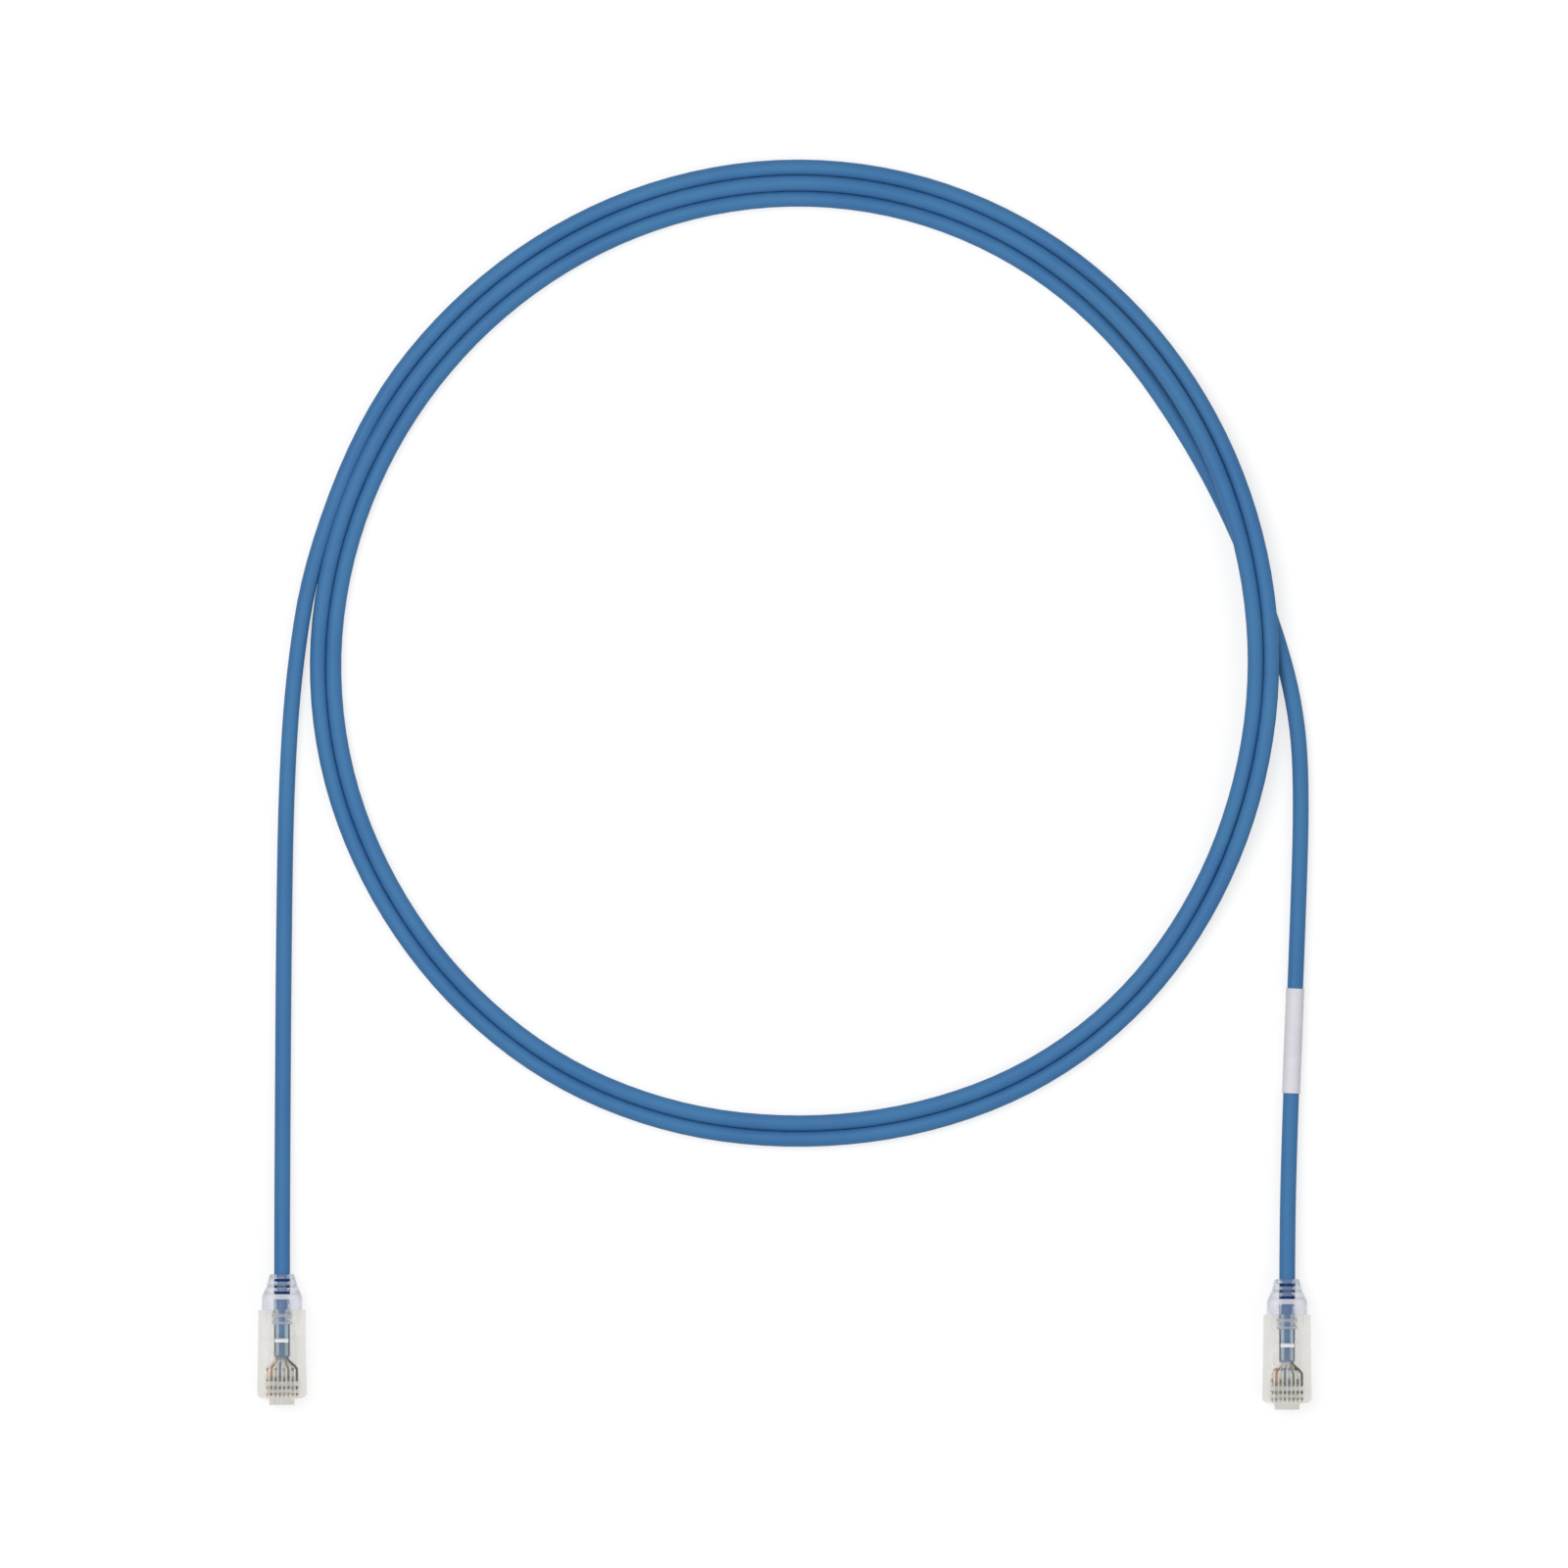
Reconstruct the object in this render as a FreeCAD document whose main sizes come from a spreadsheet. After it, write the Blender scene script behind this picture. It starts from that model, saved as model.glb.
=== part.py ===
import FreeCAD, Part
import math
import os
import re

import Sketcher
from FreeCAD import Placement, Rotation, Vector

# A two metre network patch cable: a flat coil of round cable with a clear eight-contact plug on each end.
# Millimetres. X runs from the left plug to the right one, Y from the noses to the coil, Z up from the table.
# Each plug is drawn in its own frame: its centre plane at x = 0, its underside at z = 0, its rear face at
# y = 0 and its nose towards -Y.

SIZES = {
    # Where the two plugs lie
    "plug_spread": 239.4,
    "plug_stagger": 1.15,
    # Cable jacket and the eight wires inside it
    "cable_wide": 3.8,
    "jacket_wall": 0.34,
    "jacket_mouth_deep": 3.0,
    "wire_wide": 0.68,
    "wire_gap": 0.02,
    "bundle_step": 0.86,
    # Coil: radius of the first turn, how much it is taller than wide, and the gap between turns
    "coil_radius": 117.7,
    "coil_oval": 0.77,
    "coil_gap": 0.5,
    "coil_middle_x": 2.05,
    "coil_middle_y": 162.42,
    # Humps where the two outer turns pass over the cable that leaves the coil, in degrees round the coil
    "crossing_outer": 4,
    "crossing_inner": 14,
    "hump_flat": 16,
    "hump_ramp": 26,
    # White sleeve on the right lead
    "label_wide": 4.4,
    "label_long": 25,
    "label_play": 0.05,
    "label_along": 71.7,
    # Plug housing
    "body_wide": 11.68,
    "body_tail_wide": 11.1,
    "body_long": 21.2,
    "body_tall": 6.6,
    "tail_tall": 8.0,
    "tail_long": 6.0,
    "tail_ramp": 1.2,
    "front_slope": 0.35,
    "front_corner": 0.6,
    "edge_round": 0.3,
    "nose_wide": 5.9,
    "nose_proud": 1.4,
    "nose_low": 3.0,
    # Cable axis and the rooms inside the housing
    "cable_up": 3.6,
    "room_wide": 6.6,
    "room_spare": 1.0,
    "room_gap": 0.15,
    "mouth_wide": 8.0,
    "mouth_tall": 5.6,
    "mouth_deep": 3.5,
    "mouth_corner": 1.4,
    "fan_long": 4.7,
    "comb_floor": 2.0,
    "front_wall": 0.8,
    # Two strain relief bars pressed in from below, one on the jacket and one on the wires
    "crimp_wide": 5.5,
    "crimp_inset": 0.7,
    "crimp_long": 3.9,
    "crimp_deep": 0.8,
    "wire_crimp_wide": 7.6,
    "wire_crimp_inset": 1.3,
    "wire_crimp_long": 1.3,
    "wire_crimp_deep": 0.9,
    "crimp_draft": 0.3,
    # Load bar with its two rows of wire holes
    "bar_long": 4.5,
    "bar_tall": 2.5,
    "bar_wall": 0.24,
    "bar_gap": 0.1,
    "hole_play": 0.05,
    "row_up": 1.05,
    "row_step": 0.5,
    # Eight contact blades in their slots
    "pin_pitch": 1.02,
    "blade_thick": 0.3,
    "blade_play": 0.06,
    "blade_long": 3.7,
    "blade_inset": 0.45,
    "blade_recess": 0.5,
    "blade_round": 0.5,
    "blade_shoulder": 2.45,
    "blade_bite": 0.1,
    "tine_long": 0.8,
    "tine_tip": 0.3,
    "tine_inset": 0.5,
    # Latch, hinged at the nose
    "hinge_back": 0.85,
    "hinge_up": 6.1,
    "root_radius": 0.6,
    "hinge_play": 0.06,
    "lip_drop": 0.2,
    "latch_angle": 13.5,
    "latch_travel": 9,
    "latch_thick": 1.0,
    "latch_catch_long": 8.4,
    "latch_catch_rise": 0.25,
    "latch_long": 15.75,
    "latch_side_gap": 0.35,
    "lever_wide": 3.25,
    "lever_thick": 0.85,
    "grip_long": 0.7,
    "grip_rise": 0.3,
    # Boot behind the housing
    "boot_wide": 9.6,
    "boot_tall": 7.0,
    "boot_corner": 1.8,
    "boot_collar": 3.4,
    "boot_long": 8.5,
    "boot_neck_wide": 8.9,
    "boot_neck_tall": 6.7,
    "boot_waist_wide": 7.6,
    "boot_waist_tall": 6.3,
    "boot_tip_wide": 5.9,
    "boot_tip_tall": 5.5,
    "boot_tip_corner": 2.6,
    "boot_gap": 0.1,
    "boot_bore_gap": 0.15,
    "slot_long": 0.55,
    "slot_pitch": 1.52,
}

# Flat sides round a tube, whose corners lie on its width
CABLE_SIDES = 12
WIRE_SIDES = 6

# Wire on each pin, from pin 1 on the left with the latch up
WIRES = ["white_orange", "orange", "white_green", "blue", "white_blue", "green", "white_brown", "brown"]
PINS = len(WIRES)

# Sizes worked out from the ones above
FORMULAS = {
    "lie_up": f"cable_wide / 2 * cos(180 / {CABLE_SIDES})",
    "sleeve_up": f"label_wide / 2 * cos(180 / {CABLE_SIDES})",
    "coil_pitch": "cable_wide + coil_gap",
    "plug_x": "plug_spread / 2",
    "plug_left_y": "(body_long + nose_proud - boot_long + plug_stagger) / 2",
    "plug_right_y": "(body_long + nose_proud - boot_long - plug_stagger) / 2",
    "nose_tip": "body_long + nose_proud",
    "hinge_y": "hinge_back - nose_tip",
    "seat_radius": "root_radius + hinge_play",
    "press_angle": "latch_angle - latch_travel",
    "channel_wide": "nose_wide + 2 * latch_side_gap",
    "channel_fall": "(tail_long + hinge_y) * tan(press_angle)",
    "bore_radius": "cable_wide / 2 + boot_bore_gap",
    "jacket_bore": "cable_wide / 2 - jacket_wall",
    "row_low": "comb_floor + row_up",
    "comb_front": "body_long - front_wall",
    "comb_back": "comb_front - bar_long",
    "jacket_in": "comb_back - fan_long",
    "room_deep": "jacket_in + room_spare",
    "crimp_front": "jacket_in - crimp_inset",
    "wire_crimp_front": "comb_back - wire_crimp_inset",
    "bar_wide": f"{PINS - 1} * pin_pitch + wire_wide + 2 * (hole_play + bar_wall)",
    "comb_wide": "bar_wide + 2 * bar_gap",
    "slot_wide": "blade_thick + 2 * blade_play",
    "wire_pitch": "wire_wide + wire_gap",
}

# Share of a cable run that the arc at its end takes up
BEND_SHARE = 0.45

# Distance between the points that the gaps of the coil are measured on, and the widths of cable that count
# as the same stretch
SAMPLE_STEP = 2.0
SAME_STRETCH = 5

doc = FreeCAD.newDocument("patch_cable")
sheet = doc.addObject("Spreadsheet::Sheet", "Sizes")
for row, (alias, number) in enumerate(SIZES.items(), start=1):
    sheet.set(f"A{row}", alias)
    sheet.set(f"B{row}", str(number))
    sheet.setAlias(f"B{row}", alias)
doc.recompute()

nodes = []


def bind(text):
    """The expression with each size name turned into its cell and each formula written out."""
    def replace(match):
        word = match.group()
        if word in SIZES:
            return "Sizes." + word
        if word in FORMULAS:
            return "(" + bind(FORMULAS[word]) + ")"
        return word
    return re.sub(r"[a-z_]+", replace, text)


def value(text):
    """The number that an expression stands for."""
    return float(sheet.evalExpression(bind(text)))


def keep(feature, label, place=None):
    """Name a finished sub-part, put it in its place and list it for export."""
    feature.Label = label
    if place is not None:
        feature.Placement = place
    nodes.append(feature)
    return feature


# Sketches and features

def origin_part(body, role):
    """One of the body's own origin planes or axes."""
    return [item for item in body.Origin.OriginFeatures if item.Role == role][0]


def new_sketch(body, role, name, level=None):
    """An empty sketch on an origin plane, lifted along the plane's normal by level."""
    sketch = body.newObject("Sketcher::SketchObject", name)
    sketch.AttachmentSupport = [(origin_part(body, role), "")]
    sketch.MapMode = "FlatFace"
    if level is not None:
        sketch.setExpression(".AttachmentOffset.Base.z", bind(level))
    return sketch


def pin_point(sketch, item, end, point):
    """Tie one point of a sketch element to a pair of expressions."""
    for kind, text in zip(("DistanceX", "DistanceY"), point):
        index = sketch.addConstraint(Sketcher.Constraint(kind, -1, 1, item, end, value(text)))
        sketch.setExpression(f"Constraints[{index}]", bind(text))


def arc_between(start, finish, radius):
    """An arc of under half a turn, counter-clockwise, or clockwise where the radius is negative."""
    chord = finish - start
    half = chord.Length / 2
    side = math.copysign(1, radius)
    left = Vector(-chord.y, chord.x, 0).normalize() * side
    reach = math.sqrt(max(radius * radius - half * half, 0))
    centre = (start + finish) / 2 + left * reach
    middle = centre - left * abs(radius)
    return Part.Arc(start, middle, finish)


def outline(body, role, name, corners, level=None):
    """A closed outline. A third item in a corner is the radius of the arc that leaves it."""
    sketch = new_sketch(body, role, name, level)
    spots = [Vector(value(corner[0]), value(corner[1]), 0) for corner in corners]
    ends = []
    for index, corner in enumerate(corners):
        following = spots[(index + 1) % len(spots)]
        if len(corner) == 2:
            sketch.addGeometry(Part.LineSegment(spots[index], following), False)
            ends.append((1, 2))
            continue
        radius = value(corner[2])
        sketch.addGeometry(arc_between(spots[index], following, radius), False)
        ends.append((1, 2) if radius > 0 else (2, 1))
    for index, corner in enumerate(corners):
        after = (index + 1) % len(corners)
        sketch.addConstraint(Sketcher.Constraint("Coincident", index, ends[index][1], after, ends[after][0]))
    for index, corner in enumerate(corners):
        pin_point(sketch, index, ends[index][0], corner[:2])
        if len(corner) == 3:
            at = sketch.addConstraint(Sketcher.Constraint("Radius", index, abs(value(corner[2]))))
            sketch.setExpression(f"Constraints[{at}]", bind("abs(" + corner[2] + ")"))
    return sketch


def corner_ratios(sides):
    """Corners of a regular outline on a circle of radius one, with a flat above and below."""
    angles = [(number + 0.5) * 2 * math.pi / sides for number in range(sides)]
    return [(math.cos(angle), math.sin(angle)) for angle in angles]


def many_sided(across, up, radius, sides):
    """Corners of a regular outline round a middle point."""
    ratios = corner_ratios(sides)
    return [(f"{across} + ({radius}) * {x:.9f}", f"{up} + ({radius}) * {y:.9f}") for x, y in ratios]


def eased(wide, tall, corner, up):
    """Corners of a rectangle whose four corners are each turned in two flats."""
    corners = []
    for x_side, y_side in ((1, 1), (-1, 1), (-1, -1), (1, -1)):
        turns = [(1, 0), (math.sqrt(0.5), math.sqrt(0.5)), (0, 1)]
        for x_part, y_part in turns if x_side == y_side else turns[::-1]:
            across = f"{x_side} * (({wide}) / 2 - ({corner}) * {1 - x_part:.9f})"
            above = f"{up} + {y_side} * (({tall}) / 2 - ({corner}) * {1 - y_part:.9f})"
            corners.append((across, above))
    return corners


def settle(feature):
    """Work the feature out and stop if it fails."""
    doc.recompute()
    if "Invalid" in feature.State or "Error" in feature.State or "Touched" in feature.State:
        raise RuntimeError(f"{feature.Label} failed: {feature.State}")
    return feature


def pad(body, sketch, length, symmetric=False, backwards=False):
    """A pad of the sketch."""
    feature = body.newObject("PartDesign::Pad", sketch.Name + "_pad")
    feature.Profile = sketch
    feature.setExpression("Length", bind(length))
    feature.SideType = "Symmetric" if symmetric else "One side"
    feature.Reversed = backwards
    return settle(feature)


def pocket(body, sketch, length, symmetric=False, backwards=False):
    """A pocket of the sketch, which has to cut something."""
    before = body.Shape.Volume
    feature = body.newObject("PartDesign::Pocket", sketch.Name + "_pocket")
    feature.Profile = sketch
    feature.setExpression("Length", bind(length))
    feature.SideType = "Symmetric" if symmetric else "One side"
    feature.Reversed = backwards
    settle(feature)
    if body.Shape.Volume >= before:
        raise RuntimeError(feature.Name + " cuts nothing")
    return feature


def pattern(body, feature, role, length, count):
    """Copies of a feature in a row along one of the body's axes."""
    row = body.newObject("PartDesign::LinearPattern", feature.Name + "_row")
    row.Originals = [feature]
    row.Direction = (origin_part(body, role), [""])
    row.setExpression("Length", bind(length))
    row.Occurrences = count
    body.Tip = row
    return settle(row)


def round_edges(body, base, radius, wanted):
    """A fillet on each edge of the base feature that the test wants."""
    names = [f"Edge{index}" for index, edge in enumerate(base.Shape.Edges, start=1) if wanted(edge)]
    fillet = body.newObject("PartDesign::Fillet", base.Name + "_rounds")
    fillet.Base = (base, names)
    fillet.setExpression("Radius", bind(radius))
    return settle(fillet)


# Plug housing: one clear moulding with its nose, latch channel, rooms for cable and wires, and contact comb

def make_housing(label, place):
    body = doc.addObject("PartDesign::Body", label)
    flank = "front_slope - body_long"
    plan = outline(body, "XY_Plane", "plan", [
        ("-body_tail_wide / 2", "0"),
        ("-body_wide / 2", f"{flank} + front_corner"),
        ("front_corner - body_wide / 2", flank),
        ("-nose_wide / 2", "-body_long"),
        ("nose_wide / 2", "-body_long"),
        ("body_wide / 2 - front_corner", flank),
        ("body_wide / 2", f"{flank} + front_corner"),
        ("body_tail_wide / 2", "0"),
    ])
    pad(body, plan, "tail_tall")
    step = outline(body, "YZ_Plane", "step", [
        ("-2 * body_long", "body_tall"),
        ("-tail_long - tail_ramp", "body_tall"),
        ("-tail_long", "tail_tall"),
        ("-tail_long", "2 * tail_tall"),
        ("-2 * body_long", "2 * tail_tall"),
    ])
    block = pocket(body, step, "2 * body_wide", symmetric=True)

    # Long outer edges, rounded for the hand and the mould
    flank_x = value("body_tail_wide / 2 - edge_round")

    def long_edge(edge):
        box = edge.BoundBox
        return min(abs(box.XMin), abs(box.XMax)) > flank_x and box.YLength > 2 * box.XLength
    round_edges(body, block, "edge_round", long_edge)

    nose = outline(body, "YZ_Plane", "nose", [
        ("-body_long + front_wall / 2", "nose_low"),
        ("-body_long", "nose_low"),
        ("-nose_tip", "nose_low + nose_proud"),
        ("-nose_tip", "hinge_up - lip_drop"),
        ("-body_long + front_wall / 2", "hinge_up - lip_drop"),
    ])
    pad(body, nose, "nose_wide", symmetric=True)

    # Channel under the latch: its floor lies along the pressed latch and runs into the round hinge seat
    channel = outline(body, "YZ_Plane", "channel", [
        ("hinge_y + seat_radius * sin(press_angle)", "hinge_up - seat_radius * cos(press_angle)"),
        ("-tail_long", "hinge_up - seat_radius / cos(press_angle) - channel_fall"),
        ("-tail_long", "2 * tail_tall"),
        ("-2 * nose_tip", "2 * tail_tall"),
        ("-2 * nose_tip", "hinge_up - lip_drop"),
        ("hinge_y - sqrt(seat_radius ^ 2 - lip_drop ^ 2)", "hinge_up - lip_drop", "seat_radius"),
    ])
    pocket(body, channel, "channel_wide", symmetric=True)

    mouth = outline(body, "XZ_Plane", "mouth", eased(
        "mouth_wide", "mouth_tall", "mouth_corner", "cable_up"))
    pocket(body, mouth, "mouth_deep", backwards=True)
    room_tall = "cable_wide + 2 * room_gap"
    room = outline(body, "XZ_Plane", "room", eased("room_wide", room_tall, "mouth_corner", "cable_up"))
    pocket(body, room, "room_deep", backwards=True)
    comb_room = outline(body, "XY_Plane", "comb_room", [
        ("-room_wide / 2", "-room_deep + room_gap"),
        ("-comb_wide / 2", "-comb_back"),
        ("-comb_wide / 2", "-comb_front"),
        ("comb_wide / 2", "-comb_front"),
        ("comb_wide / 2", "-comb_back"),
        ("room_wide / 2", "-room_deep + room_gap"),
    ], level="comb_floor")
    pocket(body, comb_room, "bar_tall + bar_gap", backwards=True)

    for name in ("crimp", "wire_crimp"):
        recess = outline(body, "YZ_Plane", name + "_recess", [
            (f"-{name}_front", f"-{name}_deep"),
            (f"{name}_long - {name}_front", f"-{name}_deep"),
            (f"{name}_long - {name}_front", "0"),
            (f"{name}_long - {name}_front - crimp_draft", f"{name}_deep"),
            (f"crimp_draft - {name}_front", f"{name}_deep"),
            (f"-{name}_front", "0"),
        ])
        pocket(body, recess, f"{name}_wide", symmetric=True)

    slot = outline(body, "YZ_Plane", "slot", [
        ("-2 * body_long", "-comb_floor"),
        ("-comb_back", "-comb_floor"),
        ("-comb_back", "blade_shoulder + bar_gap"),
        ("-2 * body_long", "blade_shoulder + bar_gap"),
    ], level=f"-{(PINS - 1) / 2} * pin_pitch")
    first = pocket(body, slot, "slot_wide", symmetric=True)
    pattern(body, first, "X_Axis", f"{PINS - 1} * pin_pitch", PINS)
    return keep(body, label, place)


# Latch: a round root in the nose, a wide catch with two shoulders, and a narrow lever for the thumb

def make_latch(label, place):
    body = doc.addObject("PartDesign::Body", label)
    half = "latch_thick / 2"
    shoulder = "latch_catch_long - hinge_back"
    end = "latch_long - hinge_back"
    lever_top = "lever_thick - latch_thick / 2"
    side = outline(body, "YZ_Plane", "side", [
        (f"sqrt(root_radius ^ 2 - ({half}) ^ 2)", half),
        (f"-sqrt(root_radius ^ 2 - ({half}) ^ 2)", half, "root_radius"),
        ("-root_radius", "0", "root_radius"),
        ("0", "-root_radius", "root_radius"),
        (f"sqrt(root_radius ^ 2 - ({half}) ^ 2)", f"-({half})"),
        (end, f"-({half})"),
        (end, f"{lever_top} + grip_rise"),
        (f"{end} - grip_long", f"{lever_top} + grip_rise"),
        (f"{end} - 2 * grip_long", lever_top),
        (shoulder, lever_top),
        (shoulder, f"{half} + latch_catch_rise"),
    ])
    pad(body, side, "nose_wide", symmetric=True)
    for sign, name in (("-", "left_cut"), ("", "right_cut")):
        inner = f"{sign}(lever_wide / 2)"
        round_in = f"{sign}(lever_wide / 2 + grip_long)"
        outer = f"{sign}nose_wide"
        bend = "grip_long" if sign else "-grip_long"
        cut = outline(body, "XY_Plane", name, [
            (outer, shoulder),
            (round_in, shoulder, bend),
            (inner, f"{shoulder} + grip_long"),
            (inner, "2 * latch_long"),
            (outer, "2 * latch_long"),
        ])
        pocket(body, cut, "4 * latch_thick", symmetric=True)
    raised = Rotation(Vector(1, 0, 0), value("latch_angle"))
    hinge = Placement(Vector(0, value("hinge_y"), value("hinge_up")), raised)
    return keep(body, label, place.multiply(hinge))


# Load bar: holds the eight wires over the contacts in two staggered rows

def make_load_bar(label, place):
    body = doc.addObject("PartDesign::Body", label)
    front = "bar_gap - comb_front"
    block = outline(body, "XY_Plane", "block", [
        ("-bar_wide / 2", front),
        ("bar_wide / 2", front),
        ("bar_wide / 2", f"{front} + bar_long"),
        ("-bar_wide / 2", f"{front} + bar_long"),
    ], level="comb_floor")
    pad(body, block, "bar_tall")
    for row, first_pin in enumerate((1, 2)):
        across = f"({first_pin} - {(PINS + 1) / 2}) * pin_pitch"
        hole = outline(body, "XZ_Plane", f"hole_row_{row}", many_sided(
            across, f"row_low + {row} * row_step", "wire_wide / 2 + hole_play", WIRE_SIDES))
        bored = pocket(body, hole, "2 * body_long", backwards=True)
        pattern(body, bored, "X_Axis", f"{PINS - 2} * pin_pitch", PINS // 2)
    slot = outline(body, "YZ_Plane", "slot", [
        ("-2 * body_long", "0"),
        (f"{front} + blade_long + blade_inset", "0"),
        (f"{front} + blade_long + blade_inset", "row_low + row_step"),
        ("-2 * body_long", "row_low + row_step"),
    ], level=f"-{(PINS - 1) / 2} * pin_pitch")
    first = pocket(body, slot, "slot_wide", symmetric=True)
    pattern(body, first, "X_Axis", f"{PINS - 1} * pin_pitch", PINS)
    return keep(body, label, place)


# Contact blade: rounded contact edge below, two tines that bite into the wire above

def make_contact(label, place, pin):
    body = doc.addObject("PartDesign::Body", label)
    row = (pin - 1) % 2
    front = "blade_inset - body_long"
    back = "blade_inset - body_long + blade_long"
    tip = f"row_low + {row} * row_step + blade_bite"
    slope = "(tine_long - tine_tip) / 2"
    side = outline(body, "YZ_Plane", "side", [
        (front, "blade_recess + blade_round", "blade_round"),
        (f"{front} + blade_round", "blade_recess"),
        (back, "blade_recess"),
        (back, "blade_shoulder"),
        (f"{back} - tine_inset", "blade_shoulder"),
        (f"{back} - tine_inset - {slope}", tip),
        (f"{back} - tine_inset - {slope} - tine_tip", tip),
        (f"{back} - tine_inset - tine_long", "blade_shoulder"),
        (f"{front} + tine_inset + tine_long", "blade_shoulder"),
        (f"{front} + tine_inset + tine_long - {slope}", tip),
        (f"{front} + tine_inset + {slope}", tip),
        (f"{front} + tine_inset", "blade_shoulder"),
        (front, "blade_shoulder"),
    ])
    pad(body, side, "blade_thick", symmetric=True)
    across = Placement(Vector((pin - (PINS + 1) / 2) * value("pin_pitch"), 0, 0), Rotation())
    return keep(body, label, place.multiply(across))


# Boot: a collar against the housing, a spigot inside it, and a slotted neck that bends with the cable

def make_boot(label, place):
    body = doc.addObject("PartDesign::Body", label)
    collar = outline(body, "XZ_Plane", "collar", eased("boot_wide", "boot_tall", "boot_corner", "cable_up"))
    pad(body, collar, "boot_collar", backwards=True)
    spigot = outline(body, "XZ_Plane", "spigot", eased(
        "mouth_wide - 2 * boot_gap", "mouth_tall - 2 * boot_gap", "mouth_corner - boot_gap", "cable_up"))
    pad(body, spigot, "mouth_deep - boot_gap")
    waist = "(boot_collar + boot_long) / 2"
    neck = outline(body, "XZ_Plane", "neck", eased(
        "boot_neck_wide", "boot_neck_tall", "boot_corner", "cable_up"), level="-boot_collar")
    middle_corner = "(boot_corner + boot_tip_corner) / 2"
    middle = outline(body, "XZ_Plane", "middle", eased(
        "boot_waist_wide", "boot_waist_tall", middle_corner, "cable_up"), level=f"-{waist}")
    tip = outline(body, "XZ_Plane", "tip", eased(
        "boot_tip_wide", "boot_tip_tall", "boot_tip_corner", "cable_up"), level="-boot_long")
    loft = body.newObject("PartDesign::AdditiveLoft", "neck_loft")
    loft.Profile = neck
    loft.Sections = [middle, tip]
    loft.Ruled = True
    settle(loft)
    for index in range(3):
        near = f"boot_long - {index + 1} * slot_pitch - slot_long / 2"
        far = f"boot_long - {index + 1} * slot_pitch + slot_long / 2"
        if index == 1:
            cut = outline(body, "YZ_Plane", "side_slot", [
                (near, "cable_up - bore_radius"),
                (far, "cable_up - bore_radius"),
                (far, "cable_up + bore_radius"),
                (near, "cable_up + bore_radius"),
            ])
            pocket(body, cut, "2 * boot_wide", symmetric=True)
        else:
            cut = outline(body, "XY_Plane", f"cross_slot_{index}", [
                ("-bore_radius", near),
                ("bore_radius", near),
                ("bore_radius", far),
                ("-bore_radius", far),
            ])
            pocket(body, cut, "4 * boot_tall", symmetric=True)
    bore = outline(body, "XZ_Plane", "bore", many_sided("0", "cable_up", "bore_radius", CABLE_SIDES))
    pocket(body, bore, "4 * boot_long", symmetric=True)
    return keep(body, label, place)


# Round tubes along paths of lines and arcs

def bend(start, corner, finish):
    """The arc from start to finish that touches both legs of the corner."""
    middle = (start + finish) / 2
    half = (finish - start).Length / 2
    inward = corner - middle
    if inward.Length < 1e-7:
        return Part.LineSegment(start, finish).toShape()
    turn = math.acos(min(half / (corner - start).Length, 1))
    return Part.Arc(start, middle + inward.normalize() * half * math.tan(turn / 2), finish).toShape()


def biarc(start, leaving, finish, arriving):
    """Two arcs from start to finish that keep the two directions and meet smoothly."""
    span = finish - start
    both = leaving + arriving
    square = 2 * (leaving.dot(arriving) - 1)
    linear = span.dot(both)
    reach = span.dot(span) / (2 * linear)
    if abs(square) > 1e-9:
        reach = (linear - math.sqrt(linear * linear - square * span.dot(span))) / square
    first = start + leaving * reach
    second = finish - arriving * reach
    joint = (first + second) / 2
    return [bend(start, first, joint), bend(joint, second, finish)]


def route_path(label, points):
    """Straight runs joined by arcs, each as large as its two runs allow."""
    edges = []
    radii = []
    last = points[0]
    for before, corner, after in zip(points, points[1:], points[2:]):
        reach = BEND_SHARE * min((corner - before).Length, (after - corner).Length)
        enter = corner + (before - corner).normalize() * reach
        leave = corner + (after - corner).normalize() * reach
        turn = math.pi - (before - corner).getAngle(after - corner)
        radii.append(reach / math.tan(turn / 2))
        edges.append(Part.LineSegment(last, enter).toShape())
        edges.append(bend(enter, corner, leave))
        last = leave
    edges.append(Part.LineSegment(last, points[-1]).toShape())
    print(label, "bend radii", [round(radius) for radius in radii])
    return edges


def tube(label, edges, radius, sides):
    """A solid tube along the edges, with its flats above and below and its corners on the radius."""
    path = Part.Wire(edges)
    first = edges[0]
    start = first.valueAt(first.FirstParameter)
    forward = first.tangentAt(first.FirstParameter)
    across = forward.cross(Vector(0, 0, 1)).normalize()
    above = across.cross(forward)
    corners = [start + across * radius * x + above * radius * y for x, y in corner_ratios(sides)]
    section = Part.makePolygon(corners + corners[:1])
    solid = path.makePipeShell([section], True, False)
    area = Part.Face(section).Area
    share = solid.Volume / (area * path.Length)
    print(label, "length", round(path.Length, 1), "volume over section times length", round(share, 4))
    return solid


def add_shape(label, shape, place=None):
    feature = doc.addObject("Part::Feature", label)
    feature.Shape = shape
    return keep(feature, label, place)


# Wires: from the bundle in the jacket's mouth, spread to the pins, and straight through the load bar

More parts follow.
